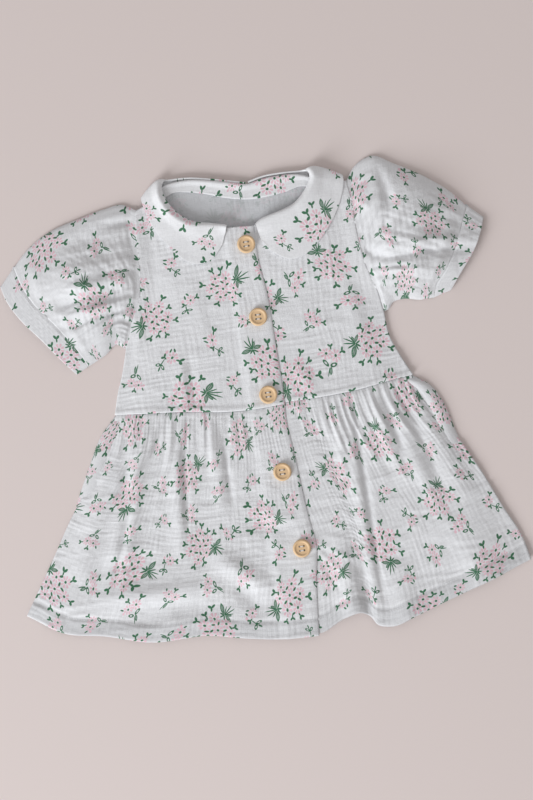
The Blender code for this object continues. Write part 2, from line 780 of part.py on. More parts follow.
def button(name, finish, group, place, cutters):
    """A turned wooden button with a dished face and four holes."""
    top = 0.0
    for turn in range(12):
        angle = 2 * math.pi * turn / 12
        for reach in (0.0, 0.5, 1.0):
            x = place.x + BUTTON_RADIUS * reach * math.cos(angle)
            y = place.y + BUTTON_RADIUS * reach * math.sin(angle)
            top = max(top, overlap_under(x, y) + CLOTH)
    bm = bmesh.new()
    bmesh.ops.create_cone(
        bm,
        cap_ends=True,
        segments=BUTTON_SIDES,
        radius1=(BUTTON_RADIUS - 0.8) * MM,
        radius2=(BUTTON_RADIUS - 0.5) * MM,
        depth=BUTTON_THICKNESS * MM,
    )
    ends = [face for face in bm.faces if abs(face.normal.z) > 0.9]
    lid = max(ends, key=lambda face: face.calc_center_median().z)
    rim = (BUTTON_RADIUS - 0.5 - BUTTON_DISH_RADIUS) * MM
    bmesh.ops.inset_region(bm, faces=[lid], thickness=rim, depth=0)
    bmesh.ops.inset_region(bm, faces=[lid], thickness=0.6 * MM, depth=-BUTTON_DISH_DEPTH * MM)
    sides = [edge for edge in bm.edges if abs(edge.verts[0].co.z - edge.verts[1].co.z) > 2 * MM]
    cut = bmesh.ops.subdivide_edges(bm, edges=sides, cuts=1)
    middle = [part for part in cut["geom_inner"] if isinstance(part, bmesh.types.BMVert)]
    for vert in middle:
        reach = math.hypot(vert.co.x, vert.co.y)
        vert.co.x *= BUTTON_RADIUS * MM / reach
        vert.co.y *= BUTTON_RADIUS * MM / reach
    disc = put(name, bm, finish, group)
    disc.location = Vector((place.x, place.y, top + SEAM_GAP + BUTTON_THICKNESS / 2)) * MM
    holes = hole_cutter(f"{name}_holes", disc.location, cutters)
    cutting = disc.modifiers.new("holes", "BOOLEAN")
    cutting.object = holes
    cutting.operation = "DIFFERENCE"
    cutting.solver = "EXACT"
    return disc


def hole_cutter(name, place, cutters):
    """The four drills of a button as one cutter."""
    bm = bmesh.new()
    for across in (-1, 1):
        for along in (-1, 1):
            made = bmesh.ops.create_cone(
                bm,
                cap_ends=True,
                segments=HOLE_SIDES,
                radius1=BUTTON_HOLE_RADIUS * MM,
                radius2=BUTTON_HOLE_RADIUS * MM,
                depth=3 * BUTTON_THICKNESS * MM,
            )
            step = Vector((across, along, 0)) * BUTTON_HOLE_OFFSET * MM
            bmesh.ops.translate(bm, verts=made["verts"], vec=step)
    mesh = bpy.data.meshes.new(name)
    bm.to_mesh(mesh)
    bm.free()
    drill = bpy.data.objects.new(name, mesh)
    drill.location = place
    drill.hide_render = True
    drill.display_type = "WIRE"
    cutters.objects.link(drill)
    return drill


def stand_on_origin(group, cutters):
    """Moves the dress so that its origin is the middle of its box, at the bottom."""
    bpy.context.view_layer.update()
    depsgraph = bpy.context.evaluated_depsgraph_get()
    corners = []
    for piece in group.objects:
        shown = piece.evaluated_get(depsgraph)
        corners += [shown.matrix_world @ vert.co for vert in shown.data.vertices]
    low = Vector([min(corner[axis] for corner in corners) for axis in range(3)])
    high = Vector([max(corner[axis] for corner in corners) for axis in range(3)])
    step = Vector(((low.x + high.x) / 2, (low.y + high.y) / 2, low.z))
    for piece in [*group.objects, *cutters.objects]:
        piece.location -= step
    print("origin moved by", [round(value / MM, 3) for value in step])


def main():
    for old in list(bpy.data.objects):
        bpy.data.objects.remove(old)
    group = collection()
    cutters = bpy.data.collections.new("cutters")
    bpy.context.scene.collection.children.link(cutters)
    cloth = material("printed_gauze", CLOTH_COLOUR, 0.9)
    collar_cloth = material("collar_gauze", COLLAR_COLOUR, 0.88)
    wood = material("button_wood", WOOD_COLOUR, 0.5)
    bodice(cloth, group)
    skirt(cloth, group)
    sleeves(cloth, group)
    collar(collar_cloth, group)
    for number, place in enumerate(BUTTONS, start=1):
        button(f"button_{number}", wood, group, place, cutters)
    stand_on_origin(group, cutters)


main()
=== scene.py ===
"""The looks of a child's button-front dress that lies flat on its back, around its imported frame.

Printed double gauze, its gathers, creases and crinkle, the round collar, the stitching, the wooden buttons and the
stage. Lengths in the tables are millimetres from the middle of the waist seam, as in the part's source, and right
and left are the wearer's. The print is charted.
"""

import math
from collections import namedtuple
from functools import partial, partialmethod

import bmesh
import bpy
import numpy as np
from bpy.props import FloatProperty, FloatVectorProperty, IntProperty, PointerProperty
from mathutils import Matrix, Vector


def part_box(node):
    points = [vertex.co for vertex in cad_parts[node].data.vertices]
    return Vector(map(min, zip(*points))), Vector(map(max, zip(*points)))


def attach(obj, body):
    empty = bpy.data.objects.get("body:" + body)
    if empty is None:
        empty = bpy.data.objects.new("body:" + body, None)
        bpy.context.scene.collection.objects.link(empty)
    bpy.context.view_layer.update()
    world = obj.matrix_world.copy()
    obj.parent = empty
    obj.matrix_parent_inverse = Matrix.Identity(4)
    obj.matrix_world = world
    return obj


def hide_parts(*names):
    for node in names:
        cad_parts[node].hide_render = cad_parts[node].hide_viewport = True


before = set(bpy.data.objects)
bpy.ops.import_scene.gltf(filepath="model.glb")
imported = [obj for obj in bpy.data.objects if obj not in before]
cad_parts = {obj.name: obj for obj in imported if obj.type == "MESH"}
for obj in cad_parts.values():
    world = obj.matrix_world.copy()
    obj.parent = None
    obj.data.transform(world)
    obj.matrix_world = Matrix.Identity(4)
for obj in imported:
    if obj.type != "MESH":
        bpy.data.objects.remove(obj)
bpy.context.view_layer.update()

bl_info = {
    "name": "Laid-flat dress",
    "version": (1, 0, 0),
    "blender": (4, 5, 0),
    "location": "View3D > Sidebar > Dress",
    "description": "Printed gauze, stitching and wooden buttons for a child's dress that lies flat",
    "category": "Add Mesh",
}

MM = 0.001
BODY = "root"

# Heights of the layers, as in the part's source
CLOTH = 1.1
LAY_GAP = 0.5
SEAM_GAP = 0.4
CUFF_SEAM_GAP = 0.6
OVERLAP_LIFT = CLOTH + LAY_GAP
OVERLAP_START, OVERLAP_RAMP = -23.0, 11.0
FRONT_BASE = CLOTH + LAY_GAP
NECK_LIFT, NECK_LIFT_START, NECK_LIFT_RAMP = 2.3, 132.0, 36.0
SHOULDER_RISE, SHOULDER_RISE_START, SHOULDER_RISE_RAMP = 2.6, 96.0, 48.0
BODICE_LOFT, SKIRT_LOFT, LOFT_RAMP = 2.6, 3.3, 38.0
GATHER_SEAM_SHARE, GATHER_PEAK = 0.45, 0.12
GATHER_SHARE, GATHER_REACH = 0.7, 0.7
SLEEVE_EDGE, SLEEVE_EDGE_BULGE, SLEEVE_EDGE_SHARE = 2.9, 0.8, 0.02
ROLL_HEIGHT, ROLL_UNDER_RISE, BAND_DROP = 3.6, 0.8, 3.4
COLLAR_CLOTH = 1.8
COLLAR_FLOOR, COLLAR_TOP_BACK, SHOULDER_BULGE = COLLAR_CLOTH + 0.05, 4.7, 5.0

Place = namedtuple("Place", "x y")
Fold = namedtuple("Fold", "x0 y0 x1 y1 width height")
Gather = namedtuple("Gather", "at height reach")
Loft = namedtuple("Loft", "share height")
CollarSection = namedtuple("CollarSection", "roll_x roll_y outer_x outer_y band wrap")
Flower = namedtuple("Flower", "x y size turn")
Leaf = namedtuple("Leaf", "x y turn length width")
Blade = namedtuple("Blade", "turn length width")


def table(kind, *rows):
    """Rows of values under the named columns of their kind."""
    return [kind(*row) for row in rows]


places = partial(table, Place)

# The right front, which lies on top at the buttons
ARMHOLE_RIGHT = places((-101, 206), (-104, 187), (-106, 152), (-111, 120), (-120, 98), (-131, 72))
SIDE_RIGHT = places((-131, 72), (-139, 46), (-146, 28), (-152, 7.5))
WAIST_RIGHT = places((-152, 7.5), (-125, 4.5), (-80, 0), (-40, -6), (-15, -7.5), (17.5, -6.5))
EDGE_BODICE = places((13, 173.5), (13, 140), (16.5, 105), (17.5, 60), (18, 10), (17.5, -6.5))
EDGE_SKIRT = places((17.5, -6.9), (17, -18), (20, -60), (25, -125), (28, -148), (23, -185), (17.5, -240))
SHOULDER_RIGHT = places((-101, 206), (-80, 213))
NECK_RIGHT = places(
    (-80, 213), (-78, 205), (-72, 196), (-60, 186.5), (-45, 180), (-28, 176.5), (0, 174.5), (13, 173.5)
)
SKIRT_SIDE_RIGHT = places((-151, 7), (-163, -26), (-186, -56), (-204, -79), (-237, -130), (-268.5, -178))
HEM_RIGHT = places(
    (-268.5, -178), (-232, -201), (-195, -209), (-150, -222), (-90, -224), (-55, -232), (-20, -238),
    (17.5, -240),
)

# The left front, which runs on under the right front
ARMHOLE_LEFT = places((111, 204.5), (113, 187), (114, 150), (118, 118), (125, 95), (129, 71))
SIDE_LEFT = places((129, 71), (131, 46), (139, 24), (148.5, 3.5))
WAIST_LEFT = places((-10, -5.5), (18, -5), (60, -5), (95, -3), (120, 0.5), (148.5, 3.5))
STAND_BODICE = places((-10, 174.5), (-10, -5.5))
STAND_SKIRT = places((-10, -6), (-8, -90), (-1, -148), (-9, -234))
SHOULDER_LEFT = places((81, 208.5), (111, 204.5))
NECK_LEFT = places(
    (-10, 174.5), (3, 173.5), (18, 174.5), (36, 178), (56, 182.5), (70, 190), (78, 199), (81, 208.5)
)
SKIRT_SIDE_LEFT = places(
    (147, 3), (153, -18), (165, -38), (182, -62), (203, -104), (219, -142), (232, -170), (238, -196)
)
HEM_LEFT = places(
    (-9, -234), (20, -237.5), (47, -226), (62, -223.5), (70, -228), (77, -238), (90, -241.5), (115, -235),
    (150, -224), (190, -212), (238, -196),
)

# The back and the facing inside its neck
NECK_BACK = places(
    (-80, 213), (-66, 222.5), (-45, 223.5), (-20, 219), (0, 214), (12, 211), (26, 213.5), (45, 214.5),
    (63, 214), (81, 208.5),
)
SKIRT_SIDE_BACK_RIGHT = places(
    (-151.5, 7), (-170, -13), (-184, -38), (-200, -69), (-208, -86), (-236, -130.5), (-267.5, -177)
)
SKIRT_SIDE_BACK_LEFT = places(
    (148, 3), (164, -9), (176, -31), (182, -56), (190, -80), (202, -104), (218, -142), (231, -170), (237, -194)
)
HEM_BACK = places(
    (-267.5, -177), (-225, -198), (-150, -216), (-60, -221), (50, -217), (95, -229), (150, -219), (237, -194)
)
FACING_TOP = places(
    (-64, 221), (-45, 222), (-20, 217.5), (0, 212.5), (12, 209.5), (26, 212), (45, 213), (62, 212)
)
FACING_BOTTOM = places(
    (-62, 217.5), (-46, 216), (-30, 212), (-10, 205), (12, 200.5), (32, 200.5), (50, 202.5), (65, 205.5)
)

# Each sleeve and its cuff
SLEEVE_TOP_RIGHT = places(
    (-101.4, 206), (-113, 213), (-133, 211.5), (-160, 205.5), (-190, 197), (-215, 182), (-230, 167)
)
SLEEVE_UNDER_RIGHT = places((-131.4, 72), (-139, 77), (-152, 69), (-171, 60))
CUFF_SEAM_RIGHT = places((-171, 60), (-180, 78), (-197, 104), (-216, 130), (-225, 149), (-230, 167))
CUFF_EDGE_RIGHT = places((-184, 53.5), (-197, 70), (-213, 92), (-232, 117), (-242, 136), (-246, 150))
SLEEVE_TOP_LEFT = places(
    (111.4, 204.5), (121, 217), (140, 225), (160, 214.5), (190, 196), (212, 178), (226, 162)
)
SLEEVE_UNDER_LEFT = places((129.4, 71), (133, 72), (140, 79), (150, 80.5), (168, 77), (181, 77.5))
CUFF_SEAM_LEFT = places((181, 77.5), (183, 86), (196, 103), (208, 122), (217, 142), (226, 162))
CUFF_EDGE_LEFT = places((199, 82), (212, 99), (225, 115), (236, 135), (241, 148))

SLEEVE_LOFT_RIGHT = table(Loft, (0, 8), (0.2, 13), (0.55, 16), (0.85, 12), (1, 9))
CUFF_LOFT_RIGHT = table(Loft, (0, 9), (1, 8.6))
SLEEVE_LOFT_LEFT = table(Loft, (0, 8), (0.36, 18.5), (0.6, 20.5), (0.85, 16), (1, 11))
CUFF_LOFT_LEFT = table(Loft, (0, 11), (1, 9.5))

# The gathers of each skirt front
GATHERS_RIGHT = table(
    Gather,
    (0.053, 1.6, 0.30), (0.118, 2.3, 0.70), (0.177, 1.3, 0.25), (0.230, 1.9, 0.50), (0.283, 1.4, 0.34),
    (0.336, 2.3, 0.62), (0.400, 1.8, 0.52), (0.460, 1.2, 0.28), (0.520, 1.7, 0.40), (0.572, 2.1, 0.52),
    (0.625, 1.6, 0.44), (0.684, 1.2, 0.26), (0.743, 0.9, 0.20),
)
GATHERS_LEFT = table(
    Gather,
    (0.353, 1.0, 0.22), (0.397, 1.4, 0.32), (0.442, 1.5, 0.38), (0.480, 2.0, 0.52), (0.524, 1.5, 0.32),
    (0.568, 2.4, 0.66), (0.618, 1.5, 0.38), (0.669, 1.7, 0.42), (0.713, 2.2, 0.50), (0.757, 1.6, 0.32),
    (0.808, 2.2, 0.62), (0.858, 1.5, 0.36), (0.909, 2.0, 0.52), (0.959, 1.3, 0.30),
)

# The main folds of the body and the sleeves, on the part's own ones
BODY_FOLDS = table(
    Fold,
    (-96, -8, -107, -150, 8, 3.0), (-88, -18, -97, -120, 3.2, -2.6), (-57, -8, -60, -110, 6, 2.4),
    (-49, -12, -49, -100, 3, -1.8), (-124, -6, -176, -175, 9, 3.6), (-140, -10, -165, -130, 6, -2.2),
    (-150, -15, -215, -150, 12, 2.6), (-230, -182, -70, -172, 16, 3.4), (-235, -196, -60, -196, 9, -2.6),
    (-75, -145, -18, -198, 13, 3.4), (-62, -176, -26, -214, 8, -2.4), (76, -6, 79, -250, 7, 2.6),
    (84, -8, 86, -215, 3.4, -2.4), (66, -8, 66, -95, 5, 2.6), (101, -6, 122, -95, 6, 3.2),
    (112, -8, 128, -70, 4, -2.2), (118, -6, 158, -150, 8, 2.2), (130, -6, 164, -120, 5, -1.6),
    (143, -4, 188, -130, 9, 2.0), (50, -140, 58, -262, 11, 4.6), (70, -170, 71, -262, 5, -3.0),
    (105, -175, 108, -262, 14, 3.2), (170, -150, 200, -235, 16, 2.8), (-78, 62, -82, -6, 6, 1.5),
    (-70, 55, -72, 2, 5, -1.2), (-110, 100, -122, 60, 6, 1.6), (32, 34, 50, -4, 7, 1.5),
    (96, 120, 104, 40, 8, 1.2), (-58, 130, -50, 60, 9, 1.0),
)
SLEEVE_FOLDS_RIGHT = table(
    Fold,
    (-101, 199, -142, 196, 5, -3.6), (-104, 206, -160, 201, 6, 2.6), (-116, 187, -218, 181, 9, -3.6),
    (-114, 150, -214, 148, 11, 3.0), (-112, 130, -204, 122, 4, -3.4), (-110, 138, -200, 133, 7, 2.4),
    (-116, 117, -190, 109, 4, 2.4), (-116, 109, -196, 99, 3.4, -3.0), (-130, 99, -182, 88, 5, 1.6),
)
SLEEVE_FOLDS_LEFT = table(
    Fold,
    (112, 204, 130, 168, 11, 3.4), (144, 216, 150, 172, 5.5, -5.2), (151, 186, 141, 150, 6, -4.6),
    (145, 160, 120, 130, 5.5, -4.4), (158, 208, 214, 166, 14, 2.2), (150, 148, 224, 141, 10, -2.6),
    (152, 134, 226, 128, 5, 2.2), (114, 134, 146, 119, 5.5, -4.2), (134, 121, 188, 125, 5, -4.8),
    (168, 125, 232, 118, 6, -3.4), (122, 108, 208, 104, 9, 3.0),
)

# Fine creases that only the looks have
BODY_CREASES = table(
    Fold,
    (-143, -2, -190, -72, 3.0, -2.0), (-101, -9, -142, -65, 3.0, -1.8), (-140, -60, -180, -170, 3.6, -2.0),
    (-108, -9, -150, -65, 5.0, 1.6), (-148, -60, -188, -165, 6.0, 1.6), (-66, -158, -8, -214, 9, -2.6),
    (-80, -140, -20, -196, 9, 2.2), (-178, -186, -88, -190, 7, -2.0), (-200, -170, -96, -176, 8, 1.6),
    (-150, -206, -70, -208, 6, 1.4), (-40, -118, 12, -140, 7, -1.6), (-30, -106, 12, -122, 6, 1.4),
    (-66, -60, -30, -64, 6, 0.9), (-190, -128, -120, -124, 7, 1.0), (-200, -146, -130, -142, 6, -1.0),
    (90, -96, 150, -92, 6, 1.0), (96, -110, 170, -108, 6, -1.0), (120, -150, 196, -148, 7, 1.2),
    (30, -60, 66, -66, 5, 0.8), (24, -150, 62, -196, 2.2, 0.8), (26, -146, 72, -176, 2.4, 0.7),
    (24, -156, 48, -206, 2.2, -0.7), (30, -140, 70, -152, 2.6, 0.6), (-150, 4, -200, -66, 3.0, 1.3),
    (-143, 0, -192, -72, 2.6, -1.1), (-30, 60, -78, 66, 4.0, -0.5), (-96, 92, -60, 96, 4.0, 0.5),
    (36, 70, 100, 64, 4.5, 0.6), (40, 112, 104, 104, 5.0, -0.5), (60, 12, 124, 20, 5.0, -0.5),
    (-120, 30, -84, 20, 4.0, 0.5), (16, 20, 36, 28, 3.5, -0.5), (16, 66, 40, 60, 3.5, -0.5),
    (-20, 96, -54, 104, 4.0, 0.45), (-24, 36, -60, 30, 4.0, 0.45),
)
SLEEVE_CREASES_RIGHT = table(
    Fold,
    (-110, 125, -176, 118, 2.4, -2.2), (-110, 121, -186, 111, 2.2, 1.8), (-112, 112, -168, 106, 2.2, -1.9),
    (-112, 118, -164, 98, 2.0, -1.7), (-115, 108, -172, 100, 2.2, 1.5), (-121, 104, -182, 88, 2.2, -1.4),
    (-125, 100, -180, 80, 2.4, 1.2), (-110, 134, -216, 128, 2.6, -1.3), (-108, 140, -200, 138, 2.4, 1.1),
    (-107, 148, -212, 147, 2.6, -1.2), (-106, 157, -206, 158, 2.6, 1.0), (-105, 166, -190, 169, 2.6, -1.0),
    (-99, 197, -132, 194, 2.6, -3.2), (-100, 203, -140, 202, 3.6, 1.6), (-103, 189, -150, 184, 3.0, 1.2),
    (-103, 181, -142, 175, 2.6, -1.0), (-150, 196, -218, 178, 3.6, 0.9), (-146, 186, -214, 166, 3.4, -0.8),
    (-170, 150, -224, 142, 3.0, 0.9), (-168, 128, -214, 112, 3.0, -0.9),
)
SLEEVE_CREASES_LEFT = table(
    Fold,
    (112, 200, 138, 210, 2.2, 1.8), (114, 196, 136, 203, 2.0, -1.4), (113, 190, 130, 172, 2.6, 1.0),
    (152, 178, 130, 142, 2.4, 1.5), (158, 172, 132, 136, 2.4, -1.2), (162, 164, 134, 133, 2.2, 1.1),
    (146, 182, 124, 146, 2.4, -1.3), (160, 128, 212, 124, 1.8, 1.7), (115, 116, 176, 109, 1.8, -1.5),
    (116, 112, 178, 105, 1.8, 1.5), (117, 107, 176, 100, 1.8, -1.3), (118, 102, 172, 95, 1.8, 1.1),
    (120, 97, 168, 90, 1.8, -0.9), (194, 191, 225, 163, 2.2, 1.4), (188, 182, 225, 157, 2.2, -1.4),
    (184, 170, 224, 150, 2.2, 1.2), (188, 158, 224, 143, 2.0, -1.1), (192, 149, 223, 136, 2.0, 1.0),
    (196, 140, 222, 130, 2.0, -0.9), (164, 200, 170, 180, 2.6, 0.8),
)

COLLAR_RIGHT = table(
    CollarSection,
    (-14, 175.5, -20, 160, 1.0, 0), (-21, 177.5, -31, 148, 1.2, 0), (-31, 179.5, -44, 143.5, 1.8, 0),
    (-44, 181.5, -58, 148, 2.8, 0), (-56, 187, -71, 162, 3.8, 0), (-66, 196, -82, 178, 4.5, 0),
    (-73, 207, -89, 194, 4.5, 0), (-76, 217, -92.5, 207, 4.0, 0), (-75, 225, -93.5, 215, 3.0, 0.3),
    (-71, 229, -92, 217, 2.0, 0.62), (-64, 229.7, -84, 206, 0.8, 1), (-46, 229.2, -62, 193, 0.2, 1),
    (-20, 224, -28, 187, 0.2, 1), (11, 216, 11, 181, 0.2, 1),
)
COLLAR_LEFT = table(
    CollarSection,
    (15.5, 173, 18.5, 157, 1.0, 0), (22, 177, 30, 143, 1.0, 0), (32, 179.5, 43, 135.5, 1.2, 0),
    (44, 182, 58, 137, 1.6, 0), (56, 186, 74, 148, 2.2, 0), (67, 194, 90, 166, 2.6, 0),
    (75, 204, 101, 184, 2.8, 0), (78.5, 212, 106.5, 198, 2.6, 0), (78, 217, 108, 208, 2.2, 0.3),
    (75, 219, 106, 210, 1.6, 0.62), (66, 219.6, 97, 201, 0.8, 1), (46, 220.6, 62, 186, 0.2, 1),
    (28, 219.8, 34, 183, 0.2, 1), (14, 216.6, 14, 181, 0.2, 1),
)
COLLAR_STEPS = table(Loft, (0.0, 0.0), (0.3, 0.05), (0.62, 0.25), (0.86, 0.8), (1.0, 1.0))

BUTTONS = places((3, 156), (4, 83), (2.5, 5), (5, -73), (13, -151))

# The print, charted: a bouquet and two sprigs, in millimetres and degrees
BOUQUET_FLOWERS = table(
    Flower,
    (-9.0, 12.0, 1.0, 10), (4.5, 16.0, 0.95, 0), (-1.0, 4.5, 1.05, 20), (12.5, 7.5, 1.0, 30),
    (-14.0, 0.0, 0.9, 5), (7.5, -4.5, 1.0, 15), (-5.0, -7.0, 0.95, 40),
)
BOUQUET_TWIGS = table(
    Flower,
    (-15.5, 18.5, 3.5, 40), (-3.5, 21.0, 3.1, 8), (11.5, 22.5, 3.5, -24), (21.0, 6.0, 3.4, -86),
    (16.5, -3.0, 3.1, -120), (-21.5, 1.5, 3.3, 94), (-14.5, -9.0, 3.4, 138), (15.5, -11.5, 3.3, -140),
)
BOUQUET_LEAVES = table(
    Leaf,
    (4.4, 9.2, 75, 2.3, 1.1), (8.0, 12.6, 35, 2.3, 1.1), (-7.4, 0.4, 60, 2.3, 1.1), (-8.6, 5.6, 110, 2.2, 1.05),
    (1.8, -2.8, 100, 2.2, 1.05), (6.0, 1.8, 40, 2.2, 1.05), (-10.8, -6.0, 160, 2.2, 1.05),
    (-2.6, 12.6, 110, 2.2, 1.05), (13.8, 0.6, 80, 2.2, 1.05),
)
BOUQUET_BROAD = table(Flower, (6.6, -17.4, 5.7, -34), (-3.8, -13.2, 4.5, 158), (-2.8, -16.6, 3.6, 206))
BOUQUET_TUFT = table(
    Blade,
    (62, 2.6, 0.75), (118, 2.6, 0.75), (224, 5.0, 0.6), (246, 6.6, 0.6), (268, 6.2, 0.6), (292, 4.4, 0.6),
    (15, 2.4, 0.7),
)
TUFT_PLACE = Place(1.0, -14.0)
TWIG_LEAVES = table(Leaf, (0.46, 0.4, 50, 0.66, 0.37), (0, -0.5, 90, 0.6, 0.25))
SPRIG_FLOWERS = table(Flower, (-2.0, 1.0, 0.9, 0))
SPRIG_TWIGS = table(Flower, (-9.8, 4.2, 3.5, 72), (6.4, 0.2, 3.0, -128))
SPRIG_LEAVES = table(
    Leaf,
    (-3.2, -6.6, 105, 2.3, 1.0), (0.9, -6.2, 70, 2.3, 1.0), (7.6, 5.6, 62, 4.6, 0.6),
    (10.4, 12.0, 64, 2.6, 0.9),
)
SPRIG_LOOPS = table(Leaf, (6.6, 10.0, 128, 3.2, 1.6), (12.2, 7.9, 8, 3.2, 1.6))
SPRIG_BUDS = table(Leaf, (5.2, -4.6, 60, 2.1, 1.6))
TWIN_FLOWERS = table(Flower, (-5.4, 4.5, 0.94, 0), (5.0, 4.8, 0.94, 22))
TWIN_TWIGS = table(Flower, (-1.6, 13.0, 3.3, 12), (12.2, 10.0, 3.3, -52))
TWIN_LEAVES = table(Leaf, (-1.0, -11.2, 76, 4.6, 0.55), (-12.4, 8.0, 130, 2.2, 1.0))
TWIN_LOOPS = table(Leaf, (-4.2, -4.2, 152, 3.7, 1.7), (4.2, -3.6, 26, 3.7, 1.7))
TWIN_BROAD = table(Flower, (1.2, -9.6, 4.2, 262))
TWIN_BUDS = table(Leaf, (-12.8, 3.0, 20, 1.9, 1.4))


# How the print wanders on the cloth and how each motif is shifted in its cell, in millimetres
DRIFT, DRIFT_SCALE, JITTER = 34.0, 0.011, 6.0
# The small motifs: how much smaller than the bouquet, how big their flowers stay, and how many have two
SMALL_SHRINK, SMALL_FLOWER, TWIN_SHARE = 1.2, 1.08, 0.4


def length_property(name, description, millimetres):
    return FloatProperty(name=name, description=description, default=millimetres * MM, unit="LENGTH")


def colour_property(name, description, colour):
    return FloatVectorProperty(name=name, description=description, default=colour, subtype="COLOR", min=0, max=1)


class ClothSizes(bpy.types.PropertyGroup):
    """Sizes of the gauze, its crinkle and its sewing."""

    wall: length_property("Cloth", "Thickness of the gauze", 0.8)
    crinkle: length_property("Crinkle", "Height of the gauze's crinkle", 0.57)
    hem: length_property("Hem", "Depth of the turned hem", 18)
    stitch: length_property("Stitch", "Length of one stitch", 2.0)
    stitch_gap: length_property("Stitch gap", "Room between two stitches", 0.6)
    thread: length_property("Thread", "Thickness of the thread", 0.4)
    cell: length_property("Cell", "Size of one quad of the cloth", 1.25)
    seed: IntProperty(name="Seed", description="Which crinkles the gauze has", default=7, min=0)


class PrintSizes(bpy.types.PropertyGroup):
    """Sizes and colours of the flower print."""

    repeat_x: length_property("Repeat across", "Room for one bouquet across", 81)
    repeat_y: length_property("Repeat along", "Room for one bouquet along", 86)
    slant: FloatProperty(name="Slant", description="Turn of the print on the cloth, in degrees", default=19.0)
    petal_radius: length_property("Flower", "Radius of one flower", 5.9)
    petal: colour_property("Petal", "Colour of the petals", (0.80, 0.40, 0.49))
    leaf: colour_property("Leaf", "Colour of the leaves", (0.012, 0.135, 0.05))


class DressColours(bpy.types.PropertyGroup):
    """Plain colours of the cloth, the thread, the wood and the floor."""

    cloth: colour_property("Cloth", "Colour of the gauze", (0.745, 0.75, 0.765))
    # The collar and the neck facing are the body's gauze, made lighter as painted light for their smoother, less
    # shaded face
    collar: colour_property("Collar", "Colour of the collar", (0.81, 0.815, 0.83))
    # The wrong side is the unprinted side of the gauze, darkened as painted shade for the inside of the neck
    inside: colour_property("Inside", "Colour of the wrong side", (0.62, 0.63, 0.65))
    thread: colour_property("Thread", "Colour of the thread", (0.86, 0.87, 0.88))
    wood: colour_property("Wood", "Colour of the buttons", (0.69, 0.545, 0.42))
    floor: colour_property("Floor", "Colour of the floor", (0.72, 0.635, 0.61))


def cad_shift():
    """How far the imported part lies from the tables, from the middle of a button in both."""
    low, high = (Vector(corner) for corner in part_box("button_3"))
    middle = (low + high) / (2 * MM)
    return middle.x - BUTTONS[2].x, middle.y - BUTTONS[2].y


SHIFT_X, SHIFT_Y = cad_shift()


# Curves and sheets

ARMHOLE_SHARE = 8 / 13
NOISE_CELLS = (97, 89)


def smooth(value):
    share = np.clip(value, 0.0, 1.0)
    return share * share * (3 - 2 * share)


def spline(rows):
    """A smooth curve through the rows, as a function of shares of its length."""
    points = np.array(rows, dtype=float)
    spans = np.linalg.norm(np.diff(points, axis=0), axis=1)
    knots = np.concatenate([[0.0], np.cumsum(spans)])
    slopes = np.diff(points, axis=0) / spans[:, None]
    inner = (slopes[:-1] * spans[1:, None] + slopes[1:] * spans[:-1, None]) / (spans[:-1] + spans[1:])[:, None]
    tangents = np.vstack([slopes[:1], inner, slopes[-1:]])

    def at(share):
        reached = np.clip(np.asarray(share, dtype=float), 0, 1) * knots[-1]
        i = np.clip(np.searchsorted(knots, reached, side="right") - 1, 0, len(spans) - 1)
        span = spans[i]
        t = ((reached - knots[i]) / span)[..., None]
        bend = t * t * (3 - 2 * t)
        span = span[..., None]
        start = points[i] * (1 - bend) + tangents[i] * (span * t * (1 - t) ** 2)
        return start + points[i + 1] * bend + tangents[i + 1] * (span * t * t * (t - 1))

    return at


def joined(first, second, share):
    """Two curves end to end, the first over the given share."""

    def at(t):
        t = np.asarray(t, dtype=float)
        return np.where((t < share)[..., None], first(t / share), second((t - share) / (1 - share)))

    return at


def moved(curve, x, y):
    """A curve shifted across the table."""
    return lambda share: curve(share) + np.array([x, y])


def straight(start, end):
    """The straight line between two places."""
    start, end = np.array(start, dtype=float), np.array(end, dtype=float)
    return lambda share: start + (end - start) * np.asarray(share, dtype=float)[..., None]


def patch(left, right, top, bottom):
    """A sheet between four edges: left and right run down it, top and bottom run across it."""

    def at(u, v):
        a, b = u[..., None], v[..., None]
        zero, one = np.zeros_like(u), np.ones_like(u)
        between = left(v) * (1 - a) + right(v) * a + top(u) * (1 - b) + bottom(u) * b
        upper = top(zero) * (1 - a) + top(one) * a
        lower = bottom(zero) * (1 - a) + bottom(one) * a
        return between - upper * (1 - b) - lower * b

    return at


def tucked(sheet, reach, share):
    """A sheet whose start runs on a little, to lie under its neighbour."""

    def at(u, v):
        out = sheet(u, np.zeros_like(v)) - sheet(u, np.full_like(v, 0.01))
        out = out / np.linalg.norm(out, axis=1)[:, None]
        return sheet(u, v) + out * (reach * smooth(1 - v / share))[:, None]

    return at


armhole_right, armhole_left = spline(ARMHOLE_RIGHT), spline(ARMHOLE_LEFT)
side_right, side_left = spline(SIDE_RIGHT), spline(SIDE_LEFT)
waist_right, waist_left = spline(WAIST_RIGHT), spline(WAIST_LEFT)
outer_right = joined(armhole_right, side_right, ARMHOLE_SHARE)
outer_left = joined(armhole_left, side_left, ARMHOLE_SHARE)


def outline_x(*curves):
    """The x of a side of the dress at a given y, over curves that run down it."""
    rows = np.vstack([curve(np.linspace(0, 1, 60)) for curve in curves])
    rows = rows[np.argsort(rows[:, 1])]
    return lambda y: np.interp(y, rows[:, 1], rows[:, 0])


x_right = outline_x(armhole_right, side_right, spline(SKIRT_SIDE_RIGHT))
x_left = outline_x(armhole_left, side_left, spline(SKIRT_SIDE_LEFT))


def fold_rise(folds, x, y):
    """How far the folds lift or sink the cloth at each place."""
    rise = np.zeros_like(x)
    for fold in folds:
        dx, dy = fold.x1 - fold.x0, fold.y1 - fold.y0
        length_squared = dx * dx + dy * dy
        share = ((x - fold.x0) * dx + (y - fold.y0) * dy) / length_squared
        away = np.hypot(x - fold.x0 - dx * share, y - fold.y0 - dy * share) / fold.width
        along = np.sin(np.pi * np.clip(share, 0, 1)) ** 0.7
        rise += fold.height * np.exp(-away * away) * along
    return rise


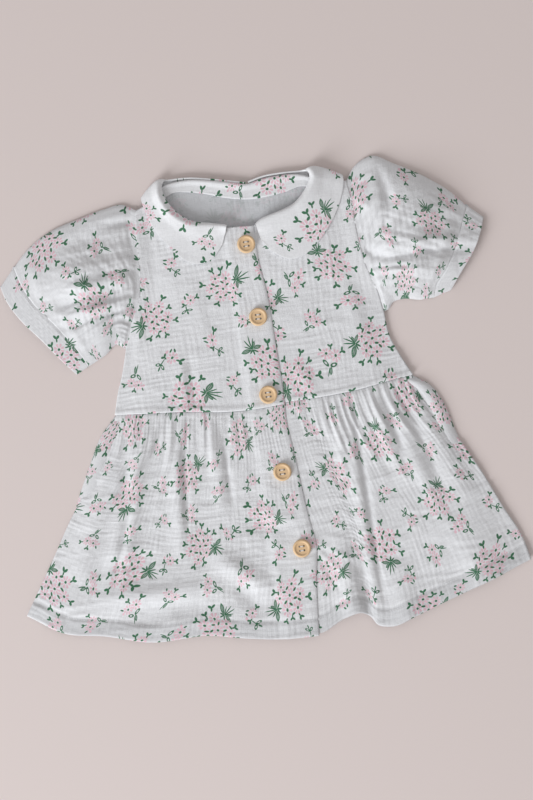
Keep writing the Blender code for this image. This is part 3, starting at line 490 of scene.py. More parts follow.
def mixed(first, second, share):
    return first + (second - first) * share


def height_along(lofts, share):
    """The height that a table of heights gives between its rows."""
    height = np.full_like(share, lofts[0].height)
    for low, high in zip(lofts, lofts[1:]):
        height += (high.height - low.height) * smooth((share - low.share) / (high.share - low.share))
    return height


def noise(x, y, size_x, size_y, seed):
    """Soft random waves from -1 to 1, about as long as the sizes say."""
    field = np.random.default_rng(seed).uniform(-1, 1, NOISE_CELLS)
    a, b = x / size_x, y / size_y
    i, j = np.floor(a).astype(int), np.floor(b).astype(int)
    s, t = smooth(a - i), smooth(b - j)
    rows, columns = field.shape
    near = field[i % rows, j % columns] * (1 - t) + field[i % rows, (j + 1) % columns] * t
    far = field[(i + 1) % rows, j % columns] * (1 - t) + field[(i + 1) % rows, (j + 1) % columns] * t
    return near * (1 - s) + far * s


def creased(wave):
    """Waves with a sharp crest where they cross their middle."""
    return 1 - 2 * np.abs(wave)


def puckers(along, across, pitch, seed):
    """Straight puckers side by side, which waver and come and go."""
    waver = 2.6 * noise(along, across, 37, 24, seed + 1) + 0.7 * noise(along, across, 12, 14, seed + 2)
    even = np.abs(np.sin(2 * np.pi * (across + waver) / pitch)) ** 1.3
    uneven = np.abs(noise(along, across + waver, 44, pitch / 2, seed))
    strength = np.clip(0.7 + 0.8 * noise(along, across, 27, 15, seed + 3), 0, 1.4)
    return (1 - 1.1 * even - 0.9 * uneven) * strength


def crinkle(x, y, seed):
    """The crinkle of washed double gauze: puckers both ways over short creases and a faint swell, about 1 high."""
    warp = puckers(y, x, 10.8, seed + 10)
    weft = puckers(x, y, 9.4, seed + 20)
    short = creased(noise(x, y, 12.0, 4.8, seed + 1))
    fine = noise(x, y, 2.6, 2.9, seed + 2)
    swell = noise(x, y, 23.0, 19.0, seed + 3)
    return 0.5 * warp + 0.62 * weft + 0.34 * short + 0.08 * fine + 0.7 * swell


def edge_curl(away, depth=0.65, width=1.2):
    """How far cloth turns down at a cut or sewn edge, at each distance from it."""
    return -depth * np.clip(1 - away / width, 0, 1) ** 2


def back_under(x, y):
    """The underside of the back: on the floor, apart from where the collar lies below it."""
    return NECK_LIFT * smooth((y - NECK_LIFT_START) / NECK_LIFT_RAMP)


def front_under(x, y):
    """The underside of the left front, over the back."""
    lowest = FRONT_BASE + SHOULDER_RISE * smooth((y - SHOULDER_RISE_START) / SHOULDER_RISE_RAMP)
    inside = np.maximum(0.0, np.minimum(x - x_right(y), x_left(y) - x))
    skirt_share = smooth((10 - y) / 60)
    loft = BODICE_LOFT + (SKIRT_LOFT - BODICE_LOFT) * skirt_share
    rise = fold_rise(BODY_FOLDS, x, y) + fold_rise(BODY_CREASES, x, y)
    return lowest + np.maximum(0.0, loft * smooth(inside / LOFT_RAMP) + rise * smooth(inside / 12))


def overlap_under(x, y):
    """The underside of the right front, which climbs onto the left front at the buttons."""
    return front_under(x, y) + OVERLAP_LIFT * smooth((x - OVERLAP_START) / OVERLAP_RAMP)


def fan(x, y, middle, seed):
    """Fine creases that spread from a place at the underarm."""
    dx, dy = x - middle.x, y - middle.y
    reach = np.hypot(dx, dy)
    turn = np.arctan2(dy, np.abs(dx))
    broad = creased(noise(turn * 60, reach, 4.0, 46, seed))
    fine = creased(noise(turn * 60, reach, 2.2, 30, seed + 1))
    return (broad + 0.5 * fine) * smooth((reach - 8) / 24) * smooth((136 - reach) / 60)


def gather_rise(gathers, u, v):
    """The rise of the small folds below the waist seam."""
    middles = [(a.at + b.at) / 2 for a, b in zip(gathers, gathers[1:])]
    ends = [2 * gathers[0].at - middles[0], *middles, 2 * gathers[-1].at - middles[-1]]
    rise = np.zeros_like(u)
    u = u + 0.006 * noise(u * 300, v * 220, 21, 33, 5) * smooth(v / 0.05)
    for gather, before, after in zip(gathers, ends, ends[1:]):
        half = np.where(u > gather.at, after - gather.at, gather.at - before)
        away = np.clip((u - gather.at) / half, -1, 1)
        seam = GATHER_SEAM_SHARE + (1 - GATHER_SEAM_SHARE) * smooth(v / GATHER_PEAK)
        reach = GATHER_PEAK + (gather.reach - GATHER_PEAK) * GATHER_REACH
        fade = GATHER_SHARE * smooth((reach - v) / (reach - GATHER_PEAK))
        rise += gather.height * seam * fade * (0.5 + 0.5 * np.cos(np.pi * away))
    return rise


# Materials

class Nodes:
    """Adds nodes to a tree and links each one's inputs as it is made."""

    def __init__(self, tree):
        self.tree = tree

    def feed(self, socket, value):
        if isinstance(value, bpy.types.NodeSocket):
            self.tree.links.new(value, socket)
        elif value is not None:
            socket.default_value = value

    def add(self, kind, inputs=None, **settings):
        node = self.tree.nodes.new(kind)
        for name, value in settings.items():
            setattr(node, name, value)
        for name, value in (inputs or {}).items():
            self.feed(node.inputs[name], value)
        return node

    def math(self, operation, *values, clamp=False):
        inputs = dict(enumerate(values))
        return self.add("ShaderNodeMath", inputs, operation=operation, use_clamp=clamp).outputs[0]

    plus = partialmethod(math, "ADD")
    minus = partialmethod(math, "SUBTRACT")
    times = partialmethod(math, "MULTIPLY")
    larger = partialmethod(math, "MAXIMUM")
    smaller = partialmethod(math, "MINIMUM")
    absolute = partialmethod(math, "ABSOLUTE")

    def vector(self, operation, *values):
        node = self.add("ShaderNodeVectorMath", operation=operation)
        for i, value in enumerate(values):
            self.feed(node.inputs["Scale"] if operation == "SCALE" and i == 1 else node.inputs[i], value)
        return node.outputs["Value" if operation == "LENGTH" else "Vector"]

    scaled = partialmethod(vector, "SCALE")

    def x_and_y(self, vector):
        parts = self.add("ShaderNodeSeparateXYZ", {"Vector": vector})
        return parts.outputs["X"], parts.outputs["Y"]

    def noise(self, vector, **inputs):
        return self.add("ShaderNodeTexNoise", {"Vector": vector, "Scale": 1.0, **inputs})

    def bump(self, shader, height, strength, distance):
        node = self.add("ShaderNodeBump", {"Height": height})
        node.inputs["Strength"].default_value = strength
        node.inputs["Distance"].default_value = distance
        self.feed(shader.inputs["Normal"], node.outputs["Normal"])

    def placed(self, vector, x, y, turn, width, length):
        """The vector as seen from a motif of that place, turn and size, whose edge is then at length 1."""
        node = self.add("ShaderNodeMapping", {"Vector": vector}, vector_type="TEXTURE")
        node.inputs["Location"].default_value = (x, y, 0)
        node.inputs["Rotation"].default_value = (0, 0, math.radians(turn))
        node.inputs["Scale"].default_value = (width, length, 1)
        return node.outputs["Vector"]

    def mixed(self, kind, factor, first, second):
        node = self.add("ShaderNodeMix", data_type=kind)
        at = {"FLOAT": (2, 3), "VECTOR": (4, 5), "RGBA": (6, 7)}[kind]
        self.feed(node.inputs[0], factor)
        self.feed(node.inputs[at[0]], first)
        self.feed(node.inputs[at[1]], second)
        return node.outputs[{"FLOAT": 0, "VECTOR": 1, "RGBA": 2}[kind]]

    def below(self, value, limit, soft):
        """1 where the value is below the limit, 0 above it, with a soft edge."""
        node = self.add("ShaderNodeMapRange", {"Value": value}, interpolation_type="SMOOTHSTEP")
        node.inputs["From Min"].default_value = limit - soft
        node.inputs["From Max"].default_value = limit + soft
        node.inputs["To Min"].default_value = 1
        node.inputs["To Max"].default_value = 0
        return node.outputs["Result"]


def nearest_motif(nodes, vector, motifs, unit):
    """The vector as seen from the nearest of some motifs, in units of its size, and its length."""
    nearest, shortest = None, None
    for motif in motifs:
        size = unit * motif.size
        seen = nodes.placed(vector, motif.x, motif.y, motif.turn, size, size)
        length = nodes.vector("LENGTH", seen)
        if nearest is None:
            nearest, shortest = seen, length
            continue
        closer = nodes.math("LESS_THAN", length, shortest)
        nearest = nodes.mixed("VECTOR", closer, nearest, seen)
        shortest = nodes.smaller(length, shortest)
    return nearest, shortest


def daisy_masks(nodes, vector, flowers, radius):
    """Petals and green middles of the nearest of some flowers."""
    nearest, length = nearest_motif(nodes, vector, flowers, radius)
    x, y = nodes.x_and_y(nearest)
    angle = nodes.math("ARCTAN2", y, x)
    lobe = nodes.math("COSINE", nodes.times(angle, 8.0))
    off_middle = nodes.minus(length, 0.66)
    pinch = nodes.times(nodes.times(off_middle, off_middle), 5.0)
    petal = nodes.below(nodes.minus(pinch, lobe), 0.45, 0.3)
    ring = nodes.below(nodes.absolute(off_middle), 0.33, 0.04)
    return nodes.times(petal, ring), nodes.below(length, 0.23, 0.04)


def ellipses(nodes, vector, leaves):
    """How far out of the nearest of some ellipses a place is, 1 at the edge."""
    nearest = None
    for leaf in leaves:
        length = nodes.vector("LENGTH", nodes.placed(vector, leaf.x, leaf.y, leaf.turn, leaf.length, leaf.width))
        nearest = length if nearest is None else nodes.smaller(nearest, length)
    return nearest


def twig_mask(nodes, vector, twigs):
    """Small twigs of two leaves on a stalk."""
    nearest, _ = nearest_motif(nodes, vector, twigs, 1.0)
    x, y = nodes.x_and_y(nearest)
    folded = nodes.add("ShaderNodeCombineXYZ", {"X": nodes.absolute(x), "Y": y})
    shape = ellipses(nodes, folded.outputs["Vector"], TWIG_LEAVES)
    return nodes.below(shape, 1.0, 0.16)


def broad_mask(nodes, vector, leaves):
    """Pointed leaves with a pale vein and pale side veins."""
    nearest, _ = nearest_motif(nodes, vector, leaves, 1.0)
    along, y = nodes.x_and_y(nearest)
    off = nodes.absolute(y)
    shape = nodes.plus(nodes.math("DIVIDE", off, 0.38), nodes.times(along, along))
    slant = nodes.minus(nodes.times(along, 8.0), nodes.times(off, 9.0))
    side_veins = nodes.below(nodes.absolute(nodes.math("SINE", slant)), 0.28, 0.14)
    beside_vein = nodes.minus(1.0, nodes.below(off, 0.05, 0.03))
    pale = nodes.times(nodes.below(shape, 0.46, 0.12), beside_vein)
    veins = nodes.larger(nodes.times(side_veins, 0.2), nodes.times(pale, 0.45))
    return nodes.times(nodes.below(shape, 1.0, 0.14), nodes.minus(1.0, veins))


def motif_masks(nodes, vector, radius, flowers, twigs, leaves, broad=(), loops=(), buds=()):
    """The pink and the green of one motif."""
    pink, green = daisy_masks(nodes, vector, flowers, radius)
    green = nodes.larger(green, twig_mask(nodes, vector, twigs))
    green = nodes.larger(green, nodes.below(ellipses(nodes, vector, leaves), 1.0, 0.14))
    if broad:
        green = nodes.larger(green, broad_mask(nodes, vector, broad))
    if loops:
        outline = nodes.absolute(nodes.minus(ellipses(nodes, vector, loops), 0.76))
        green = nodes.larger(green, nodes.below(outline, 0.3, 0.1))
    if buds:
        pink = nodes.larger(pink, nodes.below(ellipses(nodes, vector, buds), 1.0, 0.15))
    return pink, green


def cell_view(nodes, vector, width, length, shift, seed):
    """The vector from the middle of its cell, turned at random, and the cell's number and chance."""
    size = (width, length, 1)
    index = nodes.vector("FLOOR", nodes.vector("ADD", nodes.vector("DIVIDE", vector, size), (shift, shift, 0)))
    index = nodes.vector("MULTIPLY", index, (1, 1, 0))
    middle = nodes.vector("MULTIPLY", nodes.vector("ADD", index, (0.5 - shift, 0.5 - shift, 0)), size)
    chance = nodes.add(
        "ShaderNodeTexWhiteNoise", {"Vector": nodes.vector("ADD", index, (seed, seed, 0))}, noise_dimensions="2D"
    )
    jitter = nodes.scaled(nodes.vector("SUBTRACT", chance.outputs["Color"], (0.5, 0.5, 0.5)), JITTER)
    seen = nodes.vector("SUBTRACT", vector, nodes.vector("ADD", middle, jitter))
    turned = nodes.add(
        "ShaderNodeVectorRotate",
        {
            "Vector": nodes.vector("MULTIPLY", seen, (1, 1, 0)),
            "Angle": nodes.times(chance.outputs["Value"], 2 * math.pi),
        },
        rotation_type="Z_AXIS",
    )
    return turned.outputs["Vector"], index, chance.outputs["Color"]


def flower_print(sizes):
    """A node group that gives the petals and leaves of the print at a place on the cloth, in millimetres."""
    tree = bpy.data.node_groups.new("flower_print", "ShaderNodeTree")
    tree.interface.new_socket("Place", in_out="INPUT", socket_type="NodeSocketVector")
    tree.interface.new_socket("Petal", in_out="OUTPUT", socket_type="NodeSocketFloat")
    tree.interface.new_socket("Leaf", in_out="OUTPUT", socket_type="NodeSocketFloat")
    nodes = Nodes(tree)
    given = nodes.add("NodeGroupInput").outputs["Place"]
    skew = nodes.noise(nodes.scaled(given, DRIFT_SCALE))
    drift = nodes.scaled(nodes.vector("SUBTRACT", skew.outputs["Color"], (0.5, 0.5, 0.5)), DRIFT)
    drifted = nodes.vector("MULTIPLY", nodes.vector("ADD", given, drift), (1, 1, 0))
    place = nodes.placed(drifted, 0, 0, sizes.slant, 1, 1)
    width, length = sizes.repeat_x / MM, sizes.repeat_y / MM
    radius = sizes.petal_radius / MM

    tuft = []
    for blade in BOUQUET_TUFT:
        turn = math.radians(blade.turn)
        x, y = TUFT_PLACE.x + math.cos(turn) * blade.length, TUFT_PLACE.y + math.sin(turn) * blade.length
        tuft.append(Leaf(x, y, blade.turn, blade.length, blade.width))
    bouquet, _, _ = cell_view(nodes, place, width, length, 0.0, 3.0)
    petals, leaves = motif_masks(
        nodes, bouquet, radius, BOUQUET_FLOWERS, BOUQUET_TWIGS, [*BOUQUET_LEAVES, *tuft], BOUQUET_BROAD
    )

    small, index, chance = cell_view(nodes, place, width / 2, length / 2, 0.5, 11.0)
    small = nodes.scaled(small, SMALL_SHRINK)
    odd = nodes.vector("MODULO", nodes.vector("ABSOLUTE", index), (2, 2, 2))
    free = nodes.math("LESS_THAN", nodes.times(*nodes.x_and_y(odd)), 0.5)
    pick = nodes.add("ShaderNodeSeparateColor", {"Color": chance}).outputs["Blue"]
    twin = nodes.times(free, nodes.math("GREATER_THAN", pick, 1 - TWIN_SHARE))
    single = nodes.minus(free, twin)
    for share, tables in (
        (single, (SPRIG_FLOWERS, SPRIG_TWIGS, SPRIG_LEAVES, (), SPRIG_LOOPS, SPRIG_BUDS)),
        (twin, (TWIN_FLOWERS, TWIN_TWIGS, TWIN_LEAVES, TWIN_BROAD, TWIN_LOOPS, TWIN_BUDS)),
    ):
        pink, green = motif_masks(nodes, small, radius * SMALL_FLOWER, *tables)
        petals = nodes.larger(petals, nodes.times(pink, share))
        leaves = nodes.larger(leaves, nodes.times(green, share))
    out = nodes.add("NodeGroupOutput")
    nodes.feed(out.inputs["Petal"], petals)
    nodes.feed(out.inputs["Leaf"], leaves)
    return tree


def new_material(name, colour):
    """A material with a Principled shader, and the means to add nodes to it."""
    made = bpy.data.materials.new(name)
    made.use_nodes = True
    made.diffuse_color = (*colour, 1.0)
    shader = made.node_tree.nodes["Principled BSDF"]
    return made, shader, Nodes(made.node_tree)


# The share of ink in the petals and leaves, how much darker the turned hem is, partly the doubled cloth's own tone
# and partly painted shade, and millimetres from thread to thread
PETAL_INK, LEAF_INK, HEM_SHADE_DEPTH, THREAD_PITCH = 0.67, 0.94, 0.13, 0.75


def gauze(name, colour, printed, crinkle_bump):
    """Double gauze: its weave and fine crinkle as bump, and the flower print where it shows."""
    made, shader, nodes = new_material(name, colour)
    shader.inputs["Roughness"].default_value = 0.92
    shader.inputs["Specular IOR Level"].default_value = 0.25
    shader.inputs["Sheen Weight"].default_value = 0.08
    shader.inputs["Sheen Roughness"].default_value = 0.5
    cloth_map = nodes.add("ShaderNodeUVMap", uv_map="cloth").outputs["UV"]
    place = nodes.scaled(cloth_map, 1 / MM)

    slub = nodes.noise(nodes.vector("MULTIPLY", place, (0.9, 0.16, 1)))
    cross = nodes.noise(nodes.vector("MULTIPLY", place, (0.14, 0.8, 1)))
    cloud = nodes.noise(nodes.scaled(place, 0.035))
    threads = nodes.plus(slub.outputs["Fac"], cross.outputs["Fac"])
    shade = nodes.plus(nodes.times(threads, 0.16), 0.84)
    shade = nodes.plus(shade, nodes.times(nodes.minus(cloud.outputs["Fac"], 0.5), 0.05))
    # Painted light on the turned hem: painted shade, partly the doubled cloth's own tone, and a painted highlight on
    # the ridge above it
    hem_light_and_shade = nodes.add("ShaderNodeAttribute", attribute_name="hem_light_and_shade").outputs["Fac"]
    shade = nodes.times(shade, nodes.minus(1.0, nodes.times(hem_light_and_shade, HEM_SHADE_DEPTH)))
    colour_now = nodes.scaled(tuple(colour), shade)
    if printed:
        colours = bpy.context.scene.dress_print
        ink = nodes.add("ShaderNodeGroup", node_tree=scene_print())
        nodes.feed(ink.inputs["Place"], place)
        bleed = nodes.plus(nodes.times(threads, 0.5), 0.42, clamp=True)
        petal = nodes.times(nodes.times(ink.outputs["Petal"], bleed), PETAL_INK * printed)
        colour_now = nodes.mixed("RGBA", petal, colour_now, (*colours.petal, 1))
        leaf = nodes.times(ink.outputs["Leaf"], LEAF_INK * printed)
        colour_now = nodes.mixed("RGBA", leaf, colour_now, (*colours.leaf, 1))
    nodes.feed(shader.inputs["Base Color"], colour_now)

    warp, weft = (nodes.math("SINE", nodes.times(way, 2 * math.pi / THREAD_PITCH)) for way in nodes.x_and_y(place))
    weave = nodes.times(nodes.times(warp, weft), 0.04)
    nodes.bump(shader, nodes.plus(nodes.times(threads, crinkle_bump), weave), 1.0, MM)
    return made


def scene_print():
    found = bpy.data.node_groups.get("flower_print")
    return found or flower_print(bpy.context.scene.dress_print)


def finish(name):
    """The dress's finishes by name, each made once."""
    found = bpy.data.materials.get(name)
    if found:
        return found
    colours = bpy.context.scene.dress_colours
    makers = {
        "printed_cloth": lambda: gauze(name, colours.cloth, 1.0, 0.24),
        # Painted light: the collar's gauze is coloured lighter than the body's for its smoother, less shaded face
        "lit_printed_collar": lambda: gauze(name, colours.collar, 1.0, 0.12),
        # Painted shade: the wrong side's colour is darkened for the shade inside the neck
        "shaded_wrong_side": lambda: gauze(name, colours.inside, 0.12, 0.24),
        "sewing_thread": lambda: thread_material(name, colours.thread),
        "button_wood": lambda: wood_material(name, colours.wood),
        "floor": lambda: floor_material(name, colours.floor),
    }
    return makers[name]()


def thread_material(name, colour):
    made, shader, nodes = new_material(name, colour)
    place = nodes.add("ShaderNodeTexCoord").outputs["Object"]
    twist = nodes.add("ShaderNodeTexWave", {"Vector": place, "Scale": 900.0, "Distortion": 1.0})
    tint = nodes.plus(nodes.times(twist.outputs["Fac"], 0.12), 0.9)
    nodes.feed(shader.inputs["Base Color"], nodes.scaled(tuple(colour), tint))
    shader.inputs["Roughness"].default_value = 0.7
    return made


def wood_material(name, colour):
    """Pale turned wood with fine grain along X and a few darker pores."""
    made, shader, nodes = new_material(name, colour)
    place = nodes.add("ShaderNodeTexCoord").outputs["Object"]
    grain = nodes.noise(nodes.vector("MULTIPLY", place, (60.0, 650.0, 200.0)), Detail=4.0)
    rings = nodes.noise(nodes.vector("MULTIPLY", place, (30.0, 130.0, 60.0)))
    dark = nodes.below(grain.outputs["Fac"], 0.44, 0.09)
    tone = nodes.plus(nodes.times(rings.outputs["Fac"], 0.5), 0.74)
    base = nodes.scaled(tuple(colour), tone)
    streak = nodes.scaled(tuple(colour), 0.72)
    nodes.feed(shader.inputs["Base Color"], nodes.mixed("RGBA", nodes.times(dark, 0.5), base, streak))
    shader.inputs["Roughness"].default_value = 0.42
    nodes.bump(shader, grain.outputs["Fac"], 0.25, 0.2 * MM)
    return made


def floor_material(name, colour):
    made, shader, _ = new_material(name, colour)
    shader.inputs["Base Color"].default_value = (*colour, 1)
    shader.inputs["Roughness"].default_value = 0.9
    return made


# Meshes

def put(name, mesh, *finishes):
    found = bpy.data.objects.new(name, mesh)
    bpy.context.scene.collection.objects.link(found)
    for made in finishes:
        mesh.materials.append(made)
    mesh.shade_smooth()
    return found


def mesh_from(bm, name):
    mesh = bpy.data.meshes.new(name)
    bm.to_mesh(mesh)
    bm.free()
    return mesh


def unit_grid(name, across, down):
    """A mesh grid, with the share across and the share down of each of its vertices."""
    bm = bmesh.new()
    bmesh.ops.create_grid(bm, x_segments=across, y_segments=down, size=0.5)
    mesh = mesh_from(bm, name)
    corners = np.empty(3 * len(mesh.vertices))
    mesh.vertices.foreach_get("co", corners)
    corners = corners.reshape(-1, 3)
    return mesh, np.clip(corners[:, 0] + 0.5, 0, 1), np.clip(0.5 - corners[:, 1], 0, 1)


def place_vertices(mesh, x, y, z, flat_x, flat_y, hem_light_and_shade=None):
    """Moves the vertices to millimetre places of the tables, and writes the cloth map and the hem's painted shade
    and painted highlight.
    """
    corners = np.stack([x + SHIFT_X, y + SHIFT_Y, z], axis=1) * MM
    mesh.vertices.foreach_set("co", corners.ravel())
    cloth_map = mesh.uv_layers.new(name="cloth")
    corner_vertex = np.empty(len(mesh.loops), dtype=int)
    mesh.loops.foreach_get("vertex_index", corner_vertex)
    flat = np.stack([flat_x, flat_y], axis=1) * MM
    cloth_map.data.foreach_set("uv", flat[corner_vertex].ravel())
    # The hem's painted shade and painted highlight, where a panel has them
    if hem_light_and_shade is not None:
        mesh.attributes.new("hem_light_and_shade", "FLOAT", "POINT").data.foreach_set("value", hem_light_and_shade)
    mesh.update()


def wall(piece, thickness, offset, inner_finish=0):
    """Gives a sheet its thickness."""
    shell = piece.modifiers.new("wall", "SOLIDIFY")
    shell.thickness = thickness * MM
    shell.offset = offset
    shell.use_even_offset = False
    shell.material_offset = inner_finish
    shell.material_offset_rim = 0
    return shell


def cell_counts(width, length):
    cell = bpy.context.scene.dress_cloth.cell / MM
    return max(4, round(width / cell)), max(4, round(length / cell))


def edge_x(y):
    """Where the front edge of the right front is, at each height of the dress."""
    share = np.linspace(0, 1, 60)
    points = np.concatenate([spline(EDGE_BODICE)(share), spline(EDGE_SKIRT)(share)])
    points = points[np.argsort(points[:, 1])]
    return np.interp(y, points[:, 1], points[:, 0])


def panel(node, sheet, size, height, flat, hem_light_and_shade=None):
    """A panel of printed gauze of about that size, whose upper face is height(u, v, x, y) high."""
    sizes = bpy.context.scene.dress_cloth
    name = f"{node}_cloth"
    mesh, u, v = unit_grid(name, *cell_counts(*size))
    x, y = sheet(u, v).T
    flat_x, flat_y = flat(u, v, x, y)
    calm = 1 - 0.85 * np.exp(-(((x - edge_x(y)) / 5) ** 2))
    z = height(u, v, x, y) + sizes.crinkle / MM * crinkle(flat_x, flat_y, sizes.seed + len(name)) * calm
    place_vertices(mesh, x, y, z, flat_x, flat_y, hem_light_and_shade(v) if hem_light_and_shade else None)
    sew(node, mesh, sizes.wall / MM)


def sew(node, mesh, thickness, outer="printed_cloth"):
    """Makes the mesh a piece of cloth with a right and a wrong side, and attaches it to the frame."""
    # The wrong side's finish carries painted shade
    piece = put(f"{node}_cloth", mesh, finish(outer), finish("shaded_wrong_side"))
    wall(piece, thickness, -1.0, 1)
    keep(piece, node)


def keep(piece, node):
    """Attaches a cloth piece to the frame and hides the part's own piece of its node."""
    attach(piece, BODY)
    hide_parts(node)


# Bodice

NECK_SHARE = 1 - 3 / 16
BODICE_ACROSS, BODICE_DOWN = 165.0, 185.0


def bodice_right_sheet():
    top = joined(spline(SHOULDER_RIGHT), spline(NECK_RIGHT), 1 - NECK_SHARE)
    return patch(outer_right, spline(EDGE_BODICE), top, waist_right)


def bodice_left_sheet():
    top = joined(spline(NECK_LEFT), spline(SHOULDER_LEFT), NECK_SHARE)
    return patch(spline(STAND_BODICE), outer_left, top, waist_left)


def seam_ridge(away):
    """The turnings inside the waist seam, which lift the cloth just above it."""
    return 1.0 * smooth((7.0 - away) / 3.5)


def armhole_lift(y):
    """How far the sleeve seam lifts the cloth on both its sides."""
    return 2.6 * smooth((y - 74) / 30) * smooth((206 - y) / 24)


def bodice_height(under, outer_u, u, v, x, y):
    """The upper face of a front, with its seams and its turned front edge."""
    from_outer = np.abs(u - outer_u) * BODICE_ACROSS
    from_front = (1 - np.abs(u - outer_u)) * BODICE_ACROSS
    from_waist = (1 - v) * BODICE_DOWN
    z = under(x, y) + CLOTH + edge_curl(from_outer, 0.1, 1.0) + edge_curl(from_front, 1.1, 5.0)
    z = z + armhole_lift(y) * smooth(1 - from_outer / 24)
    return z + edge_curl(from_waist, 0.4) + seam_ridge(from_waist)


def straight_map(shift, u, v, x, y):
    """The cloth map of a panel that lies without gathers."""
    return x + shift[0], y + shift[1]


class DRESS_OT_bodice(bpy.types.Operator):
    """Make the two fronts and the back above the waist"""

    bl_idname = "dress.bodice"
    bl_label = "Bodice"

    def execute(self, context):
        for side, sheet, size, under, outer_u, shift, cut, area in (
            ("right", bodice_right_sheet(), (150, 190), overlap_under, 0.0, (20, 14), (0.172, 0.222), 0.031),
            ("left", bodice_left_sheet(), (140, 190), front_under, 1.0, (247, 35), (0.160, 0.216), None),
        ):
            height = partial(bodice_height, under, outer_u)
            panel(f"bodice_front_{side}", sheet, size, height, partial(straight_map, shift))
        self.back()
        return {"FINISHED"}

    def back(self):
        """The back lies face down: its printed side is underneath and its wrong side shows in the neck, coloured
        darker as painted shade.
        """
        sizes = bpy.context.scene.dress_cloth
        shoulder = 2 / 20
        top = joined(
            joined(spline(SHOULDER_RIGHT), spline(NECK_BACK), shoulder / (1 - shoulder)),
            spline(SHOULDER_LEFT),
            1 - shoulder,
        )
        bottom = straight(waist_right(0.0), waist_left(1.0))
        mesh, u, v = unit_grid("bodice_back_cloth", 130, 110)
        x, y = patch(outer_right, outer_left, top, bottom)(u, v).T
        inner = smooth(np.minimum(u, 1 - u) * 280 / 6)
        rise = np.maximum(0, crinkle(x, y, sizes.seed + 40)) * sizes.crinkle / MM * 1.5 * inner
        z = back_under(x, y) + rise * smooth((y - NECK_LIFT_START - 30) / 10)
        place_vertices(mesh, x, y, z, x + 420, y)
        mesh.flip_normals()
        sew("bodice_back", mesh, CLOTH - 0.1)


# Skirt

SKIRT_FULLNESS = 300.0
SKIRT_LENGTH = 236.0
SKIRT_ACROSS, SKIRT_DOWN = 230, 225.0


def skirt_sheet(left, right, waist, hem):
    sheet = patch(spline(left), spline(right), moved(waist, 0, -SEAM_GAP), spline(hem))
    return tucked(sheet, 2.0, 0.012)


def skirt_height(under, gathers, side_u, u, v, x, y):
    """A gathered front: main gathers, small ones between them, and the turned hem."""
    sizes = bpy.context.scene.dress_cloth
    from_hem = (1 - v) * SKIRT_DOWN
    from_side = np.abs(u - side_u) * SKIRT_ACROSS
    from_front = (1 - np.abs(u - side_u)) * SKIRT_ACROSS
    gathered = smooth((np.abs(u - (1 - side_u)) - 0.2) / 0.08)
    small = creased(noise(u * SKIRT_FULLNESS, v * 90, 6.4, 34, sizes.seed + 21)) * gathered
    small = small * (0.75 + 0.7 * noise(u * SKIRT_FULLNESS, v * 90, 31, 40, sizes.seed + 27))
    small_height = 0.65 * smooth(v / 0.04) * smooth((0.3 - v) / 0.24) + 0.12 * smooth(v / 0.05)
    hem = sizes.hem / MM
    turned = 0.7 * smooth((hem - from_hem) / 1.6) - 0.9 * np.exp(-(((from_hem - hem + 1.8) / 1.2) ** 2))
    ripple = 0.42 * creased(noise(x, y, 36, 7.5, sizes.seed + 23)) * smooth((v - 0.06) / 0.2)
    z = under(x, y) + CLOTH + gather_rise(gathers, u, v) + small * small_height + turned + ripple
    z = z + edge_curl(from_hem, 0.7, 1.4) + edge_curl(from_side) + edge_curl(from_front, 1.1, 5.0)
    return mixed(z, under(x, y), smooth(1 - v * SKIRT_DOWN / 2.6))


def painted_hem_light(v):
    """1 on the turned hem, darker there partly for the doubled cloth and partly as painted shade, 0 above it, and
    less on the ridge between them, which is a painted highlight.
    """
    hem = bpy.context.scene.dress_cloth.hem / MM
    below = hem - (1 - v) * SKIRT_DOWN
    return smooth(below / 1.4 + 0.5) - 0.7 * np.exp(-(((below + 1.0) / 1.0) ** 2))


def gathered_map(fullness, shift, u, v, x, y):
    """The cloth map of a gathered panel, whose print closes up at its gathers."""
    return u * SKIRT_FULLNESS * fullness + shift[0], (1 - v) * SKIRT_LENGTH + shift[1]


SkirtFront = namedtuple("SkirtFront", "sheet size height map cut")
SKIRT_FRONTS = {
    "right": SkirtFront(
        skirt_sheet(SKIRT_SIDE_RIGHT, EDGE_SKIRT, waist_right, HEM_RIGHT),
        (262, 216),
        partial(skirt_height, overlap_under, GATHERS_RIGHT, 0.0),
        partial(gathered_map, 1.0, (12, 11)),
        (0.300, 0.245),
    ),
    "left": SkirtFront(
        skirt_sheet(STAND_SKIRT, SKIRT_SIDE_LEFT, waist_left, HEM_LEFT),
        (240, 216),
        partial(skirt_height, front_under, GATHERS_LEFT, 1.0),
        partial(gathered_map, 0.88, (391, 52)),
        (0.275, 0.245),
    ),
}


class DRESS_OT_skirt(bpy.types.Operator):
    """Make the two gathered fronts and the back below the waist"""

    bl_idname = "dress.skirt"
    bl_label = "Skirt"

    def execute(self, context):
        for side, front in SKIRT_FRONTS.items():
            # The skirt fronts carry painted shade on their turned hems and a painted highlight just above them
            panel(f"skirt_front_{side}", front.sheet, front.size, front.height, front.map, painted_hem_light)
        self.back()
        return {"FINISHED"}

    def back(self):
        """The back of the skirt. Its print is on the upper side, and its plain side lies on the floor."""
        top = straight(waist_right(0.0) - (0, SEAM_GAP), waist_left(1.0) - (0, SEAM_GAP))
        mesh, u, v = unit_grid("skirt_back_cloth", 200, 80)
        sides = spline(SKIRT_SIDE_BACK_RIGHT), spline(SKIRT_SIDE_BACK_LEFT)
        x, y = patch(*sides, top, spline(HEM_BACK))(u, v).T
        puff = np.where(u > 0.5, 3.4, 2.4) * smooth((0.62 - v) / 0.3) * smooth(v / 0.05)
        side = np.minimum(u, 1 - u) * (300 + 180 * v)
        z = CLOTH + puff * np.sin(np.pi * np.clip(side / 17, 0, 1)) ** 0.8 + edge_curl(side, 0.1, 1.6)
        place_vertices(mesh, x, y, z, u * 620, v * SKIRT_LENGTH + 300)
        sew("skirt_back", mesh, CLOTH - 0.1)


# Sleeves

